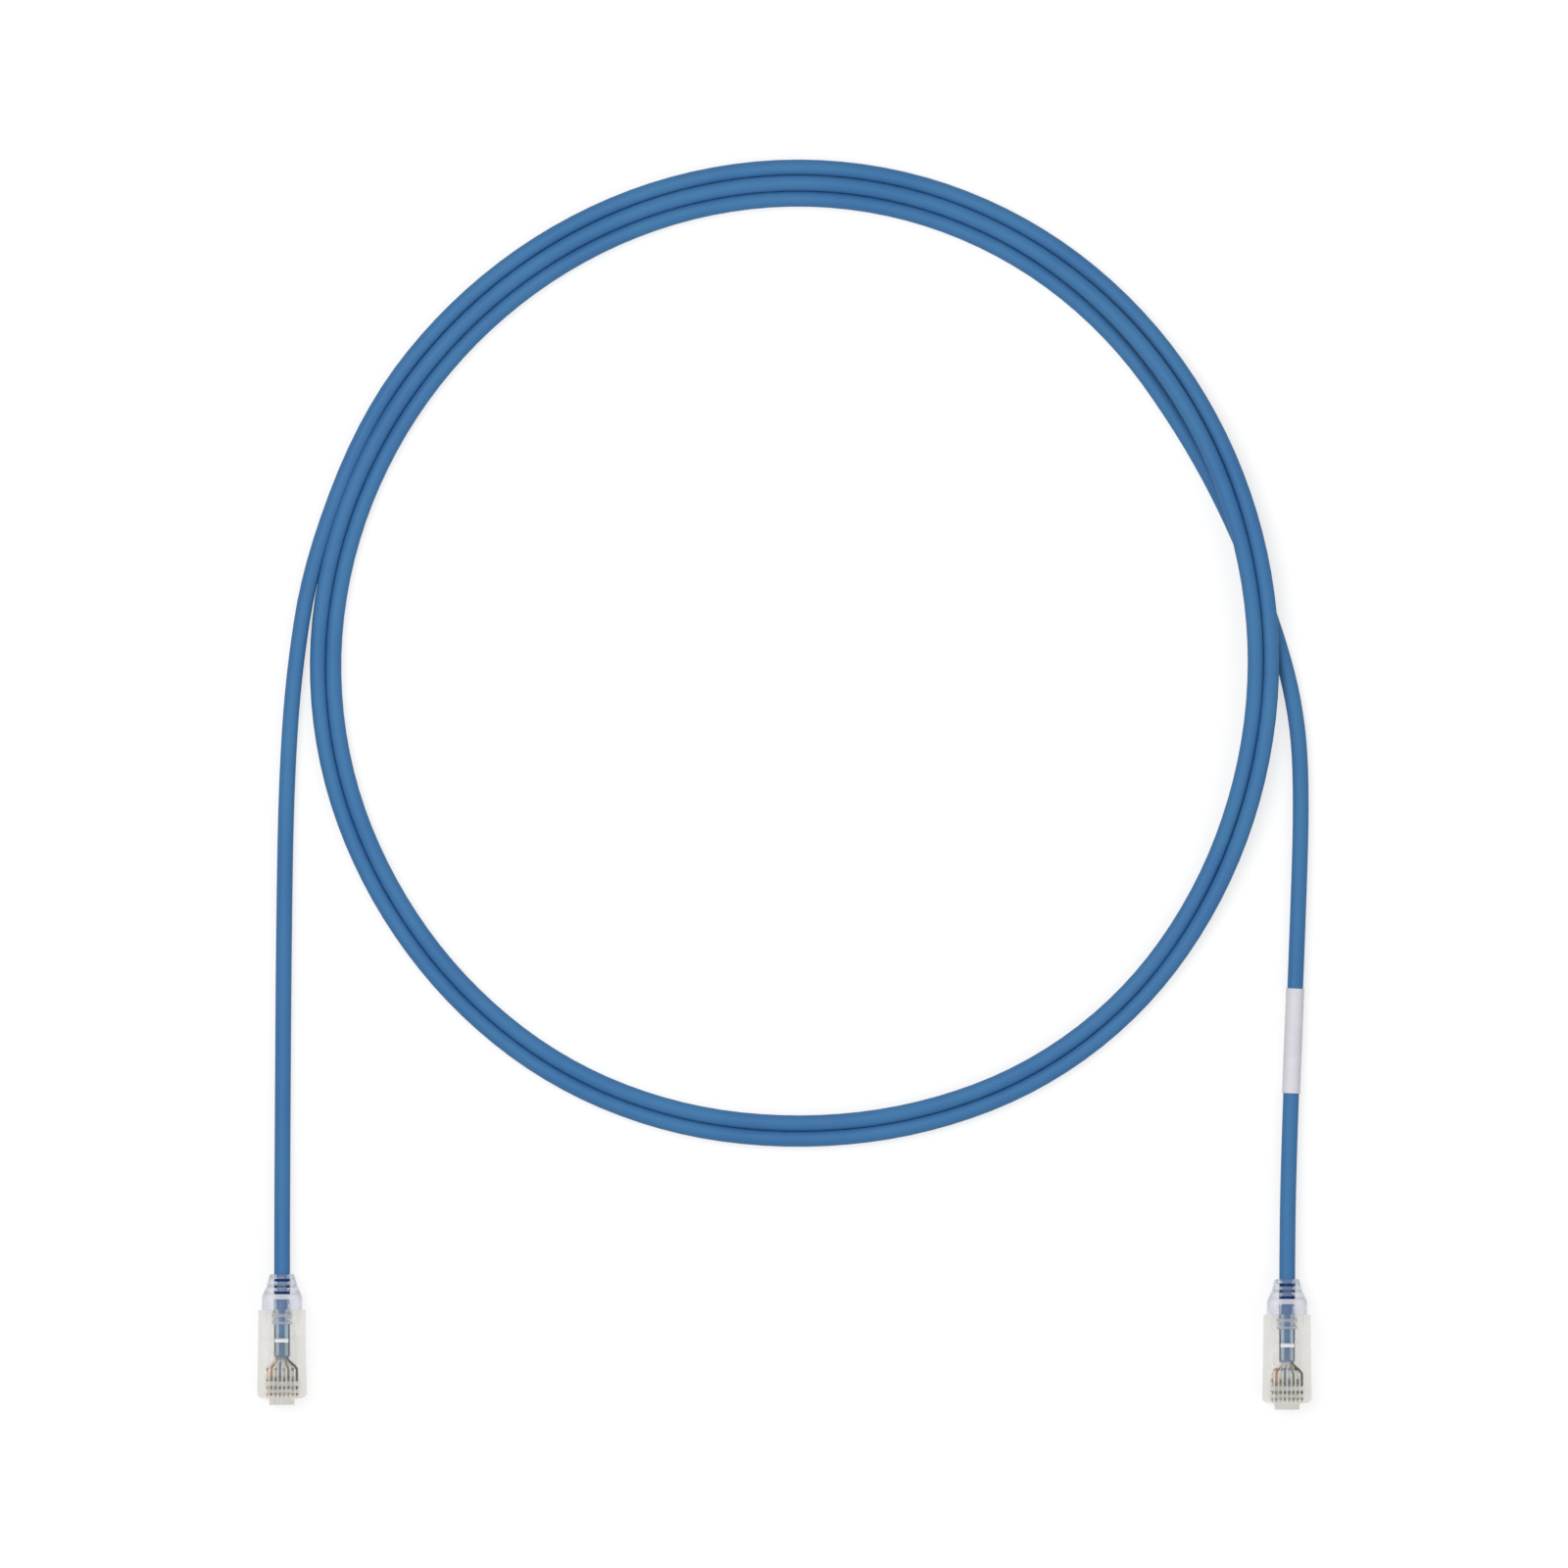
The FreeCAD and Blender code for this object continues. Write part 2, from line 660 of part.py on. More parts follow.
def make_wire(label, place, pin, contact):
    upper = (pin - 1) % 2
    slot = (pin - 1) // 2
    bundle_x = (slot - (PINS // 2 - 1) / 2) * value("wire_pitch")
    bundle_z = value("cable_up") + (upper - 0.5) * value("bundle_step")
    pin_x = (pin - (PINS + 1) / 2) * value("pin_pitch")
    pin_z = value("row_low") + upper * value("row_step")
    root = Vector(bundle_x, value("jacket_mouth_deep - jacket_in"), bundle_z)
    mouth = Vector(bundle_x, value("-jacket_in"), bundle_z)
    comb = Vector(pin_x, value("-comb_back"), pin_z)
    end = Vector(pin_x, value("bar_gap - comb_front"), pin_z)
    forward = Vector(0, -1, 0)
    edges = [Part.LineSegment(root, mouth).toShape()]
    edges += biarc(mouth, forward, comb, forward)
    edges.append(Part.LineSegment(comb, end).toShape())
    solid = tube(label, edges, value("wire_wide / 2"), WIRE_SIDES)
    local_contact = contact.Shape.copy()
    local_contact.transformShape(place.inverse().toMatrix())
    return add_shape(label, solid.cut(local_contact), place)


def make_plug(side, place):
    """All the pieces of one plug, placed together."""
    make_housing(f"plug_{side}_housing", place)
    make_latch(f"plug_{side}_latch", place)
    make_load_bar(f"plug_{side}_load_bar", place)
    make_boot(f"plug_{side}_boot", place)
    for pin, colour in enumerate(WIRES, start=1):
        contact = make_contact(f"plug_{side}_contact_{pin}", place, pin)
        make_wire(f"plug_{side}_wire_{colour}", place, pin, contact)


# Coil

def coil_point(angle, turn, lift):
    """A point of the flat spiral and its direction, clockwise seen from above."""
    around = math.radians(angle)
    outward = Vector(math.cos(around), math.sin(around), 0)
    radius = value("coil_radius") - value("coil_oval") * math.cos(2 * around) - value("coil_pitch") * turn
    growth = 2 * value("coil_oval") * math.sin(2 * around) + value("coil_pitch") / (2 * math.pi)
    sideways = Vector(math.sin(around), -math.cos(around), 0)
    middle = Vector(value("coil_middle_x"), value("coil_middle_y"), value("lie_up") + lift)
    return middle + outward * radius, (sideways * radius - outward * growth).normalize()


def coil_stations():
    """Angle, turn and lift of each point where two spans of the coil meet."""
    flat = value("hump_flat") / 2
    foot = flat + value("hump_ramp")
    hump = ((foot, 0), (flat, 1), (-flat, 1), (-foot, 0))
    spots = []
    for turn, crossing in enumerate((value("crossing_outer"), value("crossing_inner"))):
        spots.append((135, turn, 0))
        spots += [(crossing + offset, turn, lifts) for offset, lifts in hump]
        spots.append((-135, turn, 0))
    spots += [(135, 2, 0), (40, 2, 0)]
    return [(angle, turn + (180 - angle) / 360, lifts * value("coil_pitch")) for angle, turn, lifts in spots]


def make_coil(label, left_route, right_route):
    straight = value("cable_wide")
    start = left_route[-1]
    leaving = (start - left_route[-2]).normalize()
    finish = right_route[0]
    arriving = (right_route[1] - finish).normalize()
    edges = [Part.LineSegment(start, start + leaving * straight).toShape()]
    at = start + leaving * straight
    heading = leaving
    for station in coil_stations():
        point, direction = coil_point(*station)
        edges += biarc(at, heading, point, direction)
        at = point
        heading = direction
    edges += biarc(at, heading, finish - arriving * straight, arriving)
    edges.append(Part.LineSegment(finish - arriving * straight, finish).toShape())
    add_shape(label, tube(label, edges, value("cable_wide / 2"), CABLE_SIDES))
    return edges


def spread_points(edges):
    """Points along a path, a sample step apart."""
    points = []
    for edge in edges:
        count = max(int(edge.Length / SAMPLE_STEP), 2)
        points += edge.discretize(Number=count)[:-1]
    return points


def least_gap(points, others, same_path):
    """The least distance between two stretches of cable, from surface to surface."""
    near = int(SAME_STRETCH * value("cable_wide") / SAMPLE_STEP)
    least = min(
        point.distanceToPoint(other)
        for index, point in enumerate(points)
        for other in (others[index + near:] if same_path else others[near:])
    )
    return round(least - value("cable_wide"), 3)


# Leads: the jacket from inside a plug, through its boot and over the table to the coil

def make_lead(label, points, stripped):
    """A lead along its route, cut open at its stripped end, where the wires come out."""
    edges = route_path(label, points)
    solid = tube(label, edges, value("cable_wide / 2"), CABLE_SIDES)
    bore = Part.makeCylinder(value("jacket_bore"), value("jacket_mouth_deep"), stripped, Vector(0, 1, 0))
    add_shape(label, solid.cut(bore))
    return edges


def plug_place(side):
    sign = -1 if side == "left" else 1
    return Placement(Vector(sign * value("plug_x"), value(f"plug_{side}_y"), 0), Rotation())


def lead_points(side, along, points):
    """A lead's route from inside its plug: through the boot, then over the hand-chosen points."""
    base = plug_place(side).Base
    up = value("cable_up")
    inside = base + Vector(0, value("-jacket_in"), up)
    outside = Vector(base.x, along, up)
    return [inside, outside] + [Vector(*point) for point in points]


# Label: a plain white sleeve on a straight run of the cable

def make_label(label, start, finish):
    direction = (finish - start).normalize()
    middle = start + direction * ((value("label_along") - start.y) / direction.y)
    up = Vector(0, 0, 1)
    turn = Rotation(up.cross(direction), up, direction, "ZYX")
    body = doc.addObject("PartDesign::Body", label)
    ring = outline(body, "XY_Plane", "ring", many_sided("0", "0", "label_wide / 2", CABLE_SIDES))
    pad(body, ring, "label_long", symmetric=True)
    bore = outline(body, "XY_Plane", "bore", many_sided(
        "0", "0", "cable_wide / 2 + label_play", CABLE_SIDES))
    pocket(body, bore, "2 * label_long", symmetric=True)
    return keep(body, label, Placement(middle, turn))


# The whole cable

LIE = value("lie_up")
SLEEVE_LIE = value("sleeve_up")

left_lead = lead_points("left", 21.5, [
    (-119.6, 49, LIE),
    (-119.3, 97, LIE),
    (-118.9, 137, LIE),
    (-116.6, 163, LIE),
    (-112.9, 184.5, LIE),
])
right_lead = lead_points("right", 20.5, [
    (120.2, 47, SLEEVE_LIE),
    (122.2, 97, SLEEVE_LIE),
    (123.3, 131, LIE),
    (122, 150.5, LIE),
    (117.2, 169.5, LIE),
    (108.2, 193.5, LIE),
    (95.7, 215.8, LIE),
])

for plug_side in ("left", "right"):
    make_plug(plug_side, plug_place(plug_side))
make_lead("cable_lead_left", left_lead, left_lead[0])
right_edges = make_lead("cable_lead_right", right_lead[::-1], right_lead[0])
coil_edges = make_coil("cable_coil", left_lead, right_lead[::-1])
make_label("cable_label", right_lead[2], right_lead[3])

coil_points = spread_points(coil_edges)
print("coil least gap to itself", least_gap(coil_points, coil_points, True))
print("coil least gap to the right lead", least_gap(coil_points, spread_points(right_edges), False))

doc.recompute()
for item in doc.Objects:
    if "Invalid" in item.State or "Error" in item.State:
        raise RuntimeError(f"{item.Label} failed: {item.State}")
for node in nodes:
    if node.Shape.isNull() or not node.Shape.isValid() or len(node.Shape.Solids) != 1:
        raise RuntimeError(f"{node.Label} has no valid single solid")

os.makedirs("parts", exist_ok=True)
for node in nodes:
    node.Shape.exportStep(f"parts/{node.Label}.step")
print(len(nodes), "pieces written")
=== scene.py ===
# %% [markdown]
# # A two metre network patch cable
# The object is one blue cable laid in a flat coil, with a clear plug on each end. Its sizes are already
# settled in a measured model, and this lesson dresses that model: it replaces the plain tubes and blocks
# with shapes that catch the light properly, and gives every piece a finish. We start by loading the
# measured model, because each later step reads its places from there instead of guessing them.

# %% Load the measured model
import math

import bmesh
import bpy
from mathutils import Matrix, Vector
from mathutils.bvhtree import BVHTree


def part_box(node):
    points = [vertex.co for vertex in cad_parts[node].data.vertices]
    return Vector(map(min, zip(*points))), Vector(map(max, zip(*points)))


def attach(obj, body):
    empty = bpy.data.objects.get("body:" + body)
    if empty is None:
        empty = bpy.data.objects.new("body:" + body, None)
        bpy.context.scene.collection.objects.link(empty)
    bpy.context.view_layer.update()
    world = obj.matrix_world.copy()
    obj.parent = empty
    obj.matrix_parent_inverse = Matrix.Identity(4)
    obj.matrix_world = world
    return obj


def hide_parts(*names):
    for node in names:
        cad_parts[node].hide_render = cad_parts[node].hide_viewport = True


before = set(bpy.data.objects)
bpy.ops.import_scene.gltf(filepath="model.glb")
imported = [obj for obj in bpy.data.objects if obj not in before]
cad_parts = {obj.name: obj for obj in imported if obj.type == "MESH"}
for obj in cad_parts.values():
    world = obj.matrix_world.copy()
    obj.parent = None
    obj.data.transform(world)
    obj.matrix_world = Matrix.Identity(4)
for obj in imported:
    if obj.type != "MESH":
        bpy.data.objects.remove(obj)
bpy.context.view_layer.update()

# %% [markdown]
# ## Where the plugs lie
# A plug is easiest to draw in its own small frame: x across, y from its rear face (0) to its nose
# (negative), z up from its underside. The measured housing tells us where each plug's rear face is. Lengths
# below are in millimetres, as on a drawing, and a finished shape is brought to metres at the end. Only the
# table, the lamps and the cable's whole length are written in metres.

# %% Find each plug's rear face
MM = 0.001
SIDES = ("left", "right")


def plug_origin(side):
    """The middle of the plug's rear face, on the table, in metres."""
    low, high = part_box(f"plug_{side}_housing")
    return Vector(((low.x + high.x) / 2, high.y, 0))


PLUG_AT = {side: plug_origin(side) for side in SIDES}
for side in SIDES:
    print(side, "plug rear face at", [round(value / MM, 2) for value in PLUG_AT[side]], "mm")

# %% [markdown]
# ## Camera
# The cable was photographed from straight above with the whole coil in a square frame, 373.6 mm wide at the
# height of the cable. A long lens far away keeps the plugs at the edge of the frame nearly flat-on, as they
# are in the picture. The distance follows from the lens: frame width over sensor width, times the focal
# length.

# %% Set up the camera
VIEW_WIDE = 373.6 * MM
VIEW_MIDDLE = Vector((-0.12, 132.9, 1.9)) * MM
LENS = 800.0
SENSOR = 36.0

camera_data = bpy.data.cameras.new("overhead")
camera_data.lens = LENS
camera_data.sensor_width = SENSOR
camera = bpy.data.objects.new("overhead", camera_data)
camera.location = VIEW_MIDDLE + Vector((0, 0, VIEW_WIDE * LENS / SENSOR))
bpy.context.scene.collection.objects.link(camera)
bpy.context.scene.camera = camera
bpy.context.scene.view_settings.view_transform = "Standard"
print("camera height", round(camera.location.z, 3), "m")

# %% [markdown]
# ## Helpers for materials
# A material is a tree of nodes. To add a node, set its values and link it takes several lines each time,
# and the same few kinds come back in every finish of this cable. So each kind gets one helper: a step of
# arithmetic, a fade from one value to another, and a mix of two colours. A helper takes the outputs of
# other nodes or plain values and returns its own output, so that helpers can be written inside each other
# like a formula.

# %% Write the helpers
def start_finish(name):
    """A new material, its node tree and its Principled shader."""
    finish = bpy.data.materials.new(name)
    finish.use_nodes = True
    return finish, finish.node_tree, finish.node_tree.nodes["Principled BSDF"]


def set_values(node, values):
    """Write plain values on a node's named sockets."""
    for name, value in values.items():
        node.inputs[name].default_value = value


def feed(tree, socket, value):
    """Link another node's output to a socket, or write a plain value on it."""
    if isinstance(value, bpy.types.NodeSocket):
        tree.links.new(value, socket)
    else:
        socket.default_value = value


def calculate(tree, operation, *terms):
    """One step of arithmetic."""
    step = tree.nodes.new("ShaderNodeMath")
    step.operation = operation
    for socket, term in zip(step.inputs, terms):
        feed(tree, socket, term)
    return step.outputs["Value"]


def fade(tree, value, start, stop, first=0.0, last=1.0):
    """First where the value is at start or before, last where it is at stop or past it, even in between."""
    ramp = tree.nodes.new("ShaderNodeMapRange")
    set_values(ramp, {"From Min": start, "From Max": stop, "To Min": first, "To Max": last})
    tree.links.new(value, ramp.inputs["Value"])
    return ramp.outputs["Result"]


def mix_colours(tree, share, one, two):
    """Colour one where share is 0, and colour two where it is 1."""
    mix = tree.nodes.new("ShaderNodeMix")
    mix.data_type = "RGBA"
    for name, value in (("Factor", share), ("A", one), ("B", two)):
        feed(tree, mix.inputs[name], value)
    return mix.outputs["Result"]


print("node helpers:", [helper.__name__ for helper in (calculate, fade, mix_colours)])

# %% [markdown]
# ## Table
# Product pictures of cables are taken on a white table. Ours is a matt pale grey, which could be lit until
# it turns white in the picture, but then the cable would be lit too strongly as well. Instead it gives off
# a little light of its own, only where the camera, a reflection or a clear plastic looks at it. This brings
# the background up to white, and the soft shadow under the cable stays.

# %% Table finish
TABLE_TINT = (0.4, 0.4, 0.4, 1)
TABLE_LIFT = 0.665
WHITE = (1, 1, 1, 1)


def make_table_finish():
    finish, tree, shader = start_finish("white_table")
    set_values(shader, {
        "Base Color": TABLE_TINT, "Roughness": 0.9, "Specular IOR Level": 0.1, "Emission Color": WHITE,
    })
    rays = tree.nodes.new("ShaderNodeLightPath")
    seen = calculate(tree, "MAXIMUM", rays.outputs["Is Camera Ray"], rays.outputs["Is Glossy Ray"])
    seen = calculate(tree, "MAXIMUM", seen, rays.outputs["Is Transmission Ray"])
    lift = calculate(tree, "MULTIPLY", seen, TABLE_LIFT)
    tree.links.new(lift, shader.inputs["Emission Strength"])
    return finish


table_finish = make_table_finish()
print("finish:", table_finish.name)

# %% Lay the table
TABLE_HALF = 3.0
TABLE_DROP = 0.05 * MM


def make_table():
    bm = bmesh.new()
    bmesh.ops.create_grid(bm, x_segments=1, y_segments=1, size=TABLE_HALF)
    bmesh.ops.translate(bm, vec=Vector((0, VIEW_MIDDLE.y, -TABLE_DROP)), verts=bm.verts)
    mesh = bpy.data.meshes.new("table")
    bm.to_mesh(mesh)
    bm.free()
    mesh.materials.append(table_finish)
    table = bpy.data.objects.new("table", mesh)
    bpy.context.scene.collection.objects.link(table)


make_table()
print("table half width", TABLE_HALF, "m")

# %% [markdown]
# ## Light
# Large soft lamps keep hard highlights off the long run of jacket. We use an even pale world, which the
# camera sees as plain white, one large lamp a little to the left and a weaker one opposite.

# %% Light the table
WORLD_LEVEL = 0.5
LAMPS = (
    ("key_softbox", (-0.5, 0.45, 1.5), 1.1, 11.0),
    ("fill_softbox", (0.9, -0.3, 1.2), 0.9, 3.0),
)


def make_world():
    """Even pale light, which the camera sees as plain white, also straight through clear plastic."""
    world = bpy.data.worlds.new("soft_room")
    world.use_nodes = True
    tree = world.node_tree
    sky = tree.nodes["Background"]
    sky.inputs["Color"].default_value = WHITE
    rays = tree.nodes.new("ShaderNodeLightPath")
    level = fade(tree, rays.outputs["Is Camera Ray"], 0.0, 1.0, WORLD_LEVEL, 1.0)
    tree.links.new(level, sky.inputs["Strength"])
    bpy.context.scene.world = world


def make_lamp(name, place, size, watts):
    """A round soft lamp, turned to the middle of the coil. Its place and size are in metres."""
    data = bpy.data.lights.new(name, "AREA")
    data.shape = "DISK"
    data.size = size
    data.energy = watts
    lamp = bpy.data.objects.new(name, data)
    lamp.location = place
    aim = Vector((0, VIEW_MIDDLE.y, 0)) - Vector(place)
    lamp.rotation_euler = aim.to_track_quat("-Z", "Y").to_euler()
    bpy.context.scene.collection.objects.link(lamp)


make_world()
for name, place, size, watts in LAMPS:
    make_lamp(name, place, size, watts)

# %% [markdown]
# ## One shared surface effect
# Moulded and extruded plastic is never one flat value. The tint drifts slowly along a part, and the gloss
# is broken by a fine grain. Every finish here needs that, at its own scale, so it is built once as a node
# group. It reads a coordinate and puts out a colour, a roughness and a height. The shader itself stays in
# each material.

# %% Build the surface group
DRIFT_DETAIL = 3.0
DRIFT_FROM, DRIFT_TO = 0.3, 0.7
GRAIN_DETAIL = 4.0
SURFACE_INPUTS = {
    "Coordinate": "NodeSocketVector", "Tint": "NodeSocketColor", "Other Tint": "NodeSocketColor",
    "Drift Scale": "NodeSocketFloat", "Grain Scale": "NodeSocketFloat", "Roughness": "NodeSocketFloat",
    "Roughness Change": "NodeSocketFloat",
}
SURFACE_OUTPUTS = {"Color": "NodeSocketColor", "Roughness": "NodeSocketFloat", "Height": "NodeSocketFloat"}


def start_group(name, inputs, outputs):
    """A new node group with named sockets, and the nodes that stand for its inputs and its outputs."""
    group = bpy.data.node_groups.new(name, "ShaderNodeTree")
    for way, sockets in (("INPUT", inputs), ("OUTPUT", outputs)):
        for socket, kind in sockets.items():
            group.interface.new_socket(name=socket, in_out=way, socket_type=kind)
    return group, group.nodes.new("NodeGroupInput"), group.nodes.new("NodeGroupOutput")


def add_noise(tree, coordinate, scale, detail):
    noise = tree.nodes.new("ShaderNodeTexNoise")
    noise.inputs["Detail"].default_value = detail
    tree.links.new(coordinate, noise.inputs["Vector"])
    tree.links.new(scale, noise.inputs["Scale"])
    return noise.outputs["Fac"]


def make_surface_group():
    group, entry, result = start_group("plastic_surface", SURFACE_INPUTS, SURFACE_OUTPUTS)
    given = entry.outputs
    noise = add_noise(group, given["Coordinate"], given["Drift Scale"], DRIFT_DETAIL)
    drift = fade(group, noise, DRIFT_FROM, DRIFT_TO)
    colour = mix_colours(group, drift, given["Tint"], given["Other Tint"])
    rough = calculate(group, "MULTIPLY_ADD", drift, given["Roughness Change"], given["Roughness"])
    grain = add_noise(group, given["Coordinate"], given["Grain Scale"], GRAIN_DETAIL)
    group.links.new(colour, result.inputs["Color"])
    group.links.new(rough, result.inputs["Roughness"])
    group.links.new(grain, result.inputs["Height"])
    return group


SURFACE = make_surface_group()
print("group outputs:", [item.name for item in SURFACE.interface.items_tree if item.in_out == "OUTPUT"])

# %% [markdown]
# ## Finishes
# One function sets up what all finishes share: object coordinates into the surface group, its colour and
# roughness into the shader, its height through a bump. What makes a finish clear, metallic or soft is set
# on the shader afterwards as plain values. Colours are written as the screen values that we want to see and
# turned into linear light, which is what the shader works in.

# %% Make a finish from the surface group
def linear(red, green, blue):
    """A screen colour from 0 to 255 as linear light, by the standard formula for screens."""
    parts = [channel / 255 for channel in (red, green, blue)]
    return [part / 12.92 if part <= 0.04045 else ((part + 0.055) / 1.055) ** 2.4 for part in parts] + [1.0]


def add_group(tree, group):
    """Place a node group in a material and feed it the object coordinates."""
    placed = tree.nodes.new("ShaderNodeGroup")
    placed.node_tree = group
    where = tree.nodes.new("ShaderNodeTexCoord")
    tree.links.new(where.outputs["Object"], placed.inputs["Coordinate"])
    return placed


def make_finish(name, tint, other, drift, grain, rough, change=0.1, bump=0.1, deep=0.02):
    """A plastic or metal. Drift and grain are the sizes of the two patterns, and deep is the bump in mm."""
    finish, tree, shader = start_finish(name)
    surface = add_group(tree, SURFACE)
    surface.name = "surface"
    set_values(surface, {
        "Tint": linear(*tint), "Other Tint": linear(*other), "Drift Scale": drift, "Grain Scale": grain,
        "Roughness": rough, "Roughness Change": change,
    })
    tree.links.new(surface.outputs["Color"], shader.inputs["Base Color"])
    tree.links.new(surface.outputs["Roughness"], shader.inputs["Roughness"])
    height = tree.nodes.new("ShaderNodeBump")
    set_values(height, {"Strength": bump, "Distance": deep * MM})
    tree.links.new(surface.outputs["Height"], height.inputs["Height"])
    tree.links.new(height.outputs["Normal"], shader.inputs["Normal"])
    return finish, shader


print("a screen grey of 128 is", round(linear(128, 128, 128)[0], 3), "in linear light")

# %% [markdown]
# ## Jacket finish
# The jacket is soft blue PVC. Its gloss is low and broad, and the colour drifts a little greener and a
# little lighter along the run, as the extruder's pigment does.

# %% Make the jacket's finish
jacket, jacket_shader = make_finish(
    "jacket_blue", (64, 117, 171), (70, 126, 175), drift=45, grain=1800, rough=0.42, change=0.12, bump=0.25,
    deep=0.03)
jacket_shader.inputs["Specular IOR Level"].default_value = 0.15
print("finish:", jacket.name)

# %% [markdown]
# ## Light and shade inside the plugs
# Inside a plug the jacket is dark along its flanks and at the bottom of the boot's slots, and it carries
# two pale lines where the clear walls gather the light. The renderer doesn't throw such light through clear
# walls, so the jacket's material lays both on by place: a mask is 1 near a spot along one axis, two masks
# multiplied are 1 where both are, and the greatest of several is 1 where any one is. The places come from
# the plugs' measured ones and from the slots that are cut in the boots further on.

# %% Masks by place
def near(tree, value, spot, half, soft):
    """A mask that is 1 within half of a spot along one axis and fades to 0 over soft, in millimetres."""
    away = calculate(tree, "SUBTRACT", value, spot * MM)
    return fade(tree, calculate(tree, "ABSOLUTE", away), half * MM, (half + soft) * MM, 1.0, 0.0)


def greatest(tree, masks):
    result = masks[0]
    for mask in masks[1:]:
        result = calculate(tree, "MAXIMUM", result, mask)
    return result


def near_either(tree, value, middle, away, half, soft):
    """A mask round two spots, the same distance to each side of a middle."""
    return greatest(tree, [near(tree, value, middle + sign * away, half, soft) for sign in (-1, 1)])


print("mask helpers:", [helper.__name__ for helper in (near, greatest, near_either)])

# %% Build the group of masks
SLOT_LONG = 0.6
MIDDLE_SLOT = 5.6
SLOT_SPOTS = (7.1, MIDDLE_SLOT, 4.12)
SLOT_SOFT = 0.12
PLUG_HALF, PLUG_SOFT = 10, 1
JACKET_IN, JACKET_IN_SOFT = 10.7, 0.2
FLANK_AT, FLANK_HALF, FLANK_SOFT = 1.75, 0.14, 0.2
GLEAM_AT, GLEAM_HALF, GLEAM_SOFT = 1.15, 0.25, 0.3
GLEAM_SHARE = 0.72
SHADE_OUTPUTS = {"Shade": "NodeSocketFloat", "Gleam": "NodeSocketFloat"}


def make_shade_group():
    """Shade in the boot's slots and along the jacket's flanks, and gleam in two lines along its top."""
    group, entry, result = start_group("plug_shade", {"Coordinate": "NodeSocketVector"}, SHADE_OUTPUTS)
    axes = group.nodes.new("ShaderNodeSeparateXYZ")
    group.links.new(entry.outputs["Coordinate"], axes.inputs["Vector"])
    across, along = axes.outputs["X"], axes.outputs["Y"]
    shades, gleams = [], []
    for side in SIDES:
        place = PLUG_AT[side] / MM
        inside = near(group, along, place.y - JACKET_IN / 2, JACKET_IN / 2, JACKET_IN_SOFT)
        flanks = near_either(group, across, place.x, FLANK_AT, FLANK_HALF, FLANK_SOFT)
        shades.append(calculate(group, "MULTIPLY", flanks, inside))
        lines = near_either(group, across, place.x, GLEAM_AT, GLEAM_HALF, GLEAM_SOFT)
        gleams.append(calculate(group, "MULTIPLY", lines, inside))
        here = near(group, across, place.x, PLUG_HALF, PLUG_SOFT)
        for spot in SLOT_SPOTS:
            slot = near(group, along, place.y + spot, SLOT_LONG / 2, SLOT_SOFT)
            shades.append(calculate(group, "MULTIPLY", slot, here))
    faint = calculate(group, "MULTIPLY", greatest(group, gleams), GLEAM_SHARE)
    group.links.new(greatest(group, shades), result.inputs["Shade"])
    group.links.new(faint, result.inputs["Gleam"])
    return group


plug_shade = make_shade_group()
print("mask group:", plug_shade.name, "with", len(plug_shade.nodes), "nodes")

# %% Lay light and shade on the jacket
SHADE_TINT = (10, 57, 113)
GLEAM_TINT = (214, 236, 252)


def shade_in_plugs(finish, shader):
    """Mix the gleam's tint over the surface colour by one mask, and then the shade's by the other."""
    tree = finish.node_tree
    masks = add_group(tree, plug_shade)
    colour = tree.nodes["surface"].outputs["Color"]
    colour = mix_colours(tree, masks.outputs["Gleam"], colour, linear(*GLEAM_TINT))
    colour = mix_colours(tree, masks.outputs["Shade"], colour, linear(*SHADE_TINT))
    tree.links.new(colour, shader.inputs["Base Color"])


shade_in_plugs(jacket, jacket_shader)
print("finish with light and shade:", jacket.name)

# %% [markdown]
# ## Clear finishes
# The plugs are clear polycarbonate and the boots a softer, faintly bluish clear PVC. Full transmission
# would do for a thick lens, but here several thin walls lie above each other, and each would bend the light
# again until the wires are lost. So only a share of the plastic is solid to the light, by the shader's
# Alpha, and the rest goes straight through. A share of milk makes it cloudy: none in the polished inner
# walls, about a third in the housing, and most in the frosted bands of the load bar and in three painted
# highlights. These are near-white cloudy finishes on the lip of the latch, on the boot's shoulder and, tinted
# blue for the light that comes through the jacket, on the barbs of the boot.

# %% Make the clear finishes
HARD_INDEX, SOFT_INDEX = 1.5, 1.45
POLISHED, WORN, SATIN, FROSTED = 0.06, 0.1, 0.15, 0.4
CLEAR_FINISHES = (
    # Name, tint, other tint, refractive index, roughness, solid share, milk share
    ("clear_housing", (226, 222, 213), (220, 216, 205), HARD_INDEX, POLISHED, 0.36, 0.35),
    ("clear_inner_walls", (250, 250, 247), (246, 246, 242), HARD_INDEX, POLISHED, 0.12, 0.0),
    ("clear_latch", (240, 238, 230), (234, 231, 222), HARD_INDEX, POLISHED, 0.18, 0.2),
    # Near-white and cloudy: a painted highlight on the lip of the latch.
    ("painted_grip_highlight", (252, 252, 252), (247, 247, 247), HARD_INDEX, FROSTED, 0.97, 0.95),
    ("clear_load_bar", (250, 250, 247), (244, 244, 240), HARD_INDEX, WORN, 0.12, 0.1),
    ("frosted_band", (252, 252, 250), (247, 247, 245), HARD_INDEX, FROSTED, 0.88, 0.9),
    # Whiter and cloudier than the boot: a painted highlight on its shoulder.
    ("painted_shoulder_highlight", (249, 247, 254), (243, 241, 251), SOFT_INDEX, FROSTED, 0.85, 0.65),
    ("clear_boot", (222, 228, 241), (216, 222, 236), SOFT_INDEX, SATIN, 0.5, 0.15),
    ("clear_spigot", (244, 246, 252), (238, 240, 248), SOFT_INDEX, SATIN, 0.18, 0.0),
    # A painted highlight on the barbs, tinted blue for the light that comes through the jacket.
    ("painted_barb_highlight", (236, 247, 255), (230, 242, 252), SOFT_INDEX, FROSTED, 0.5, 0.7),
)


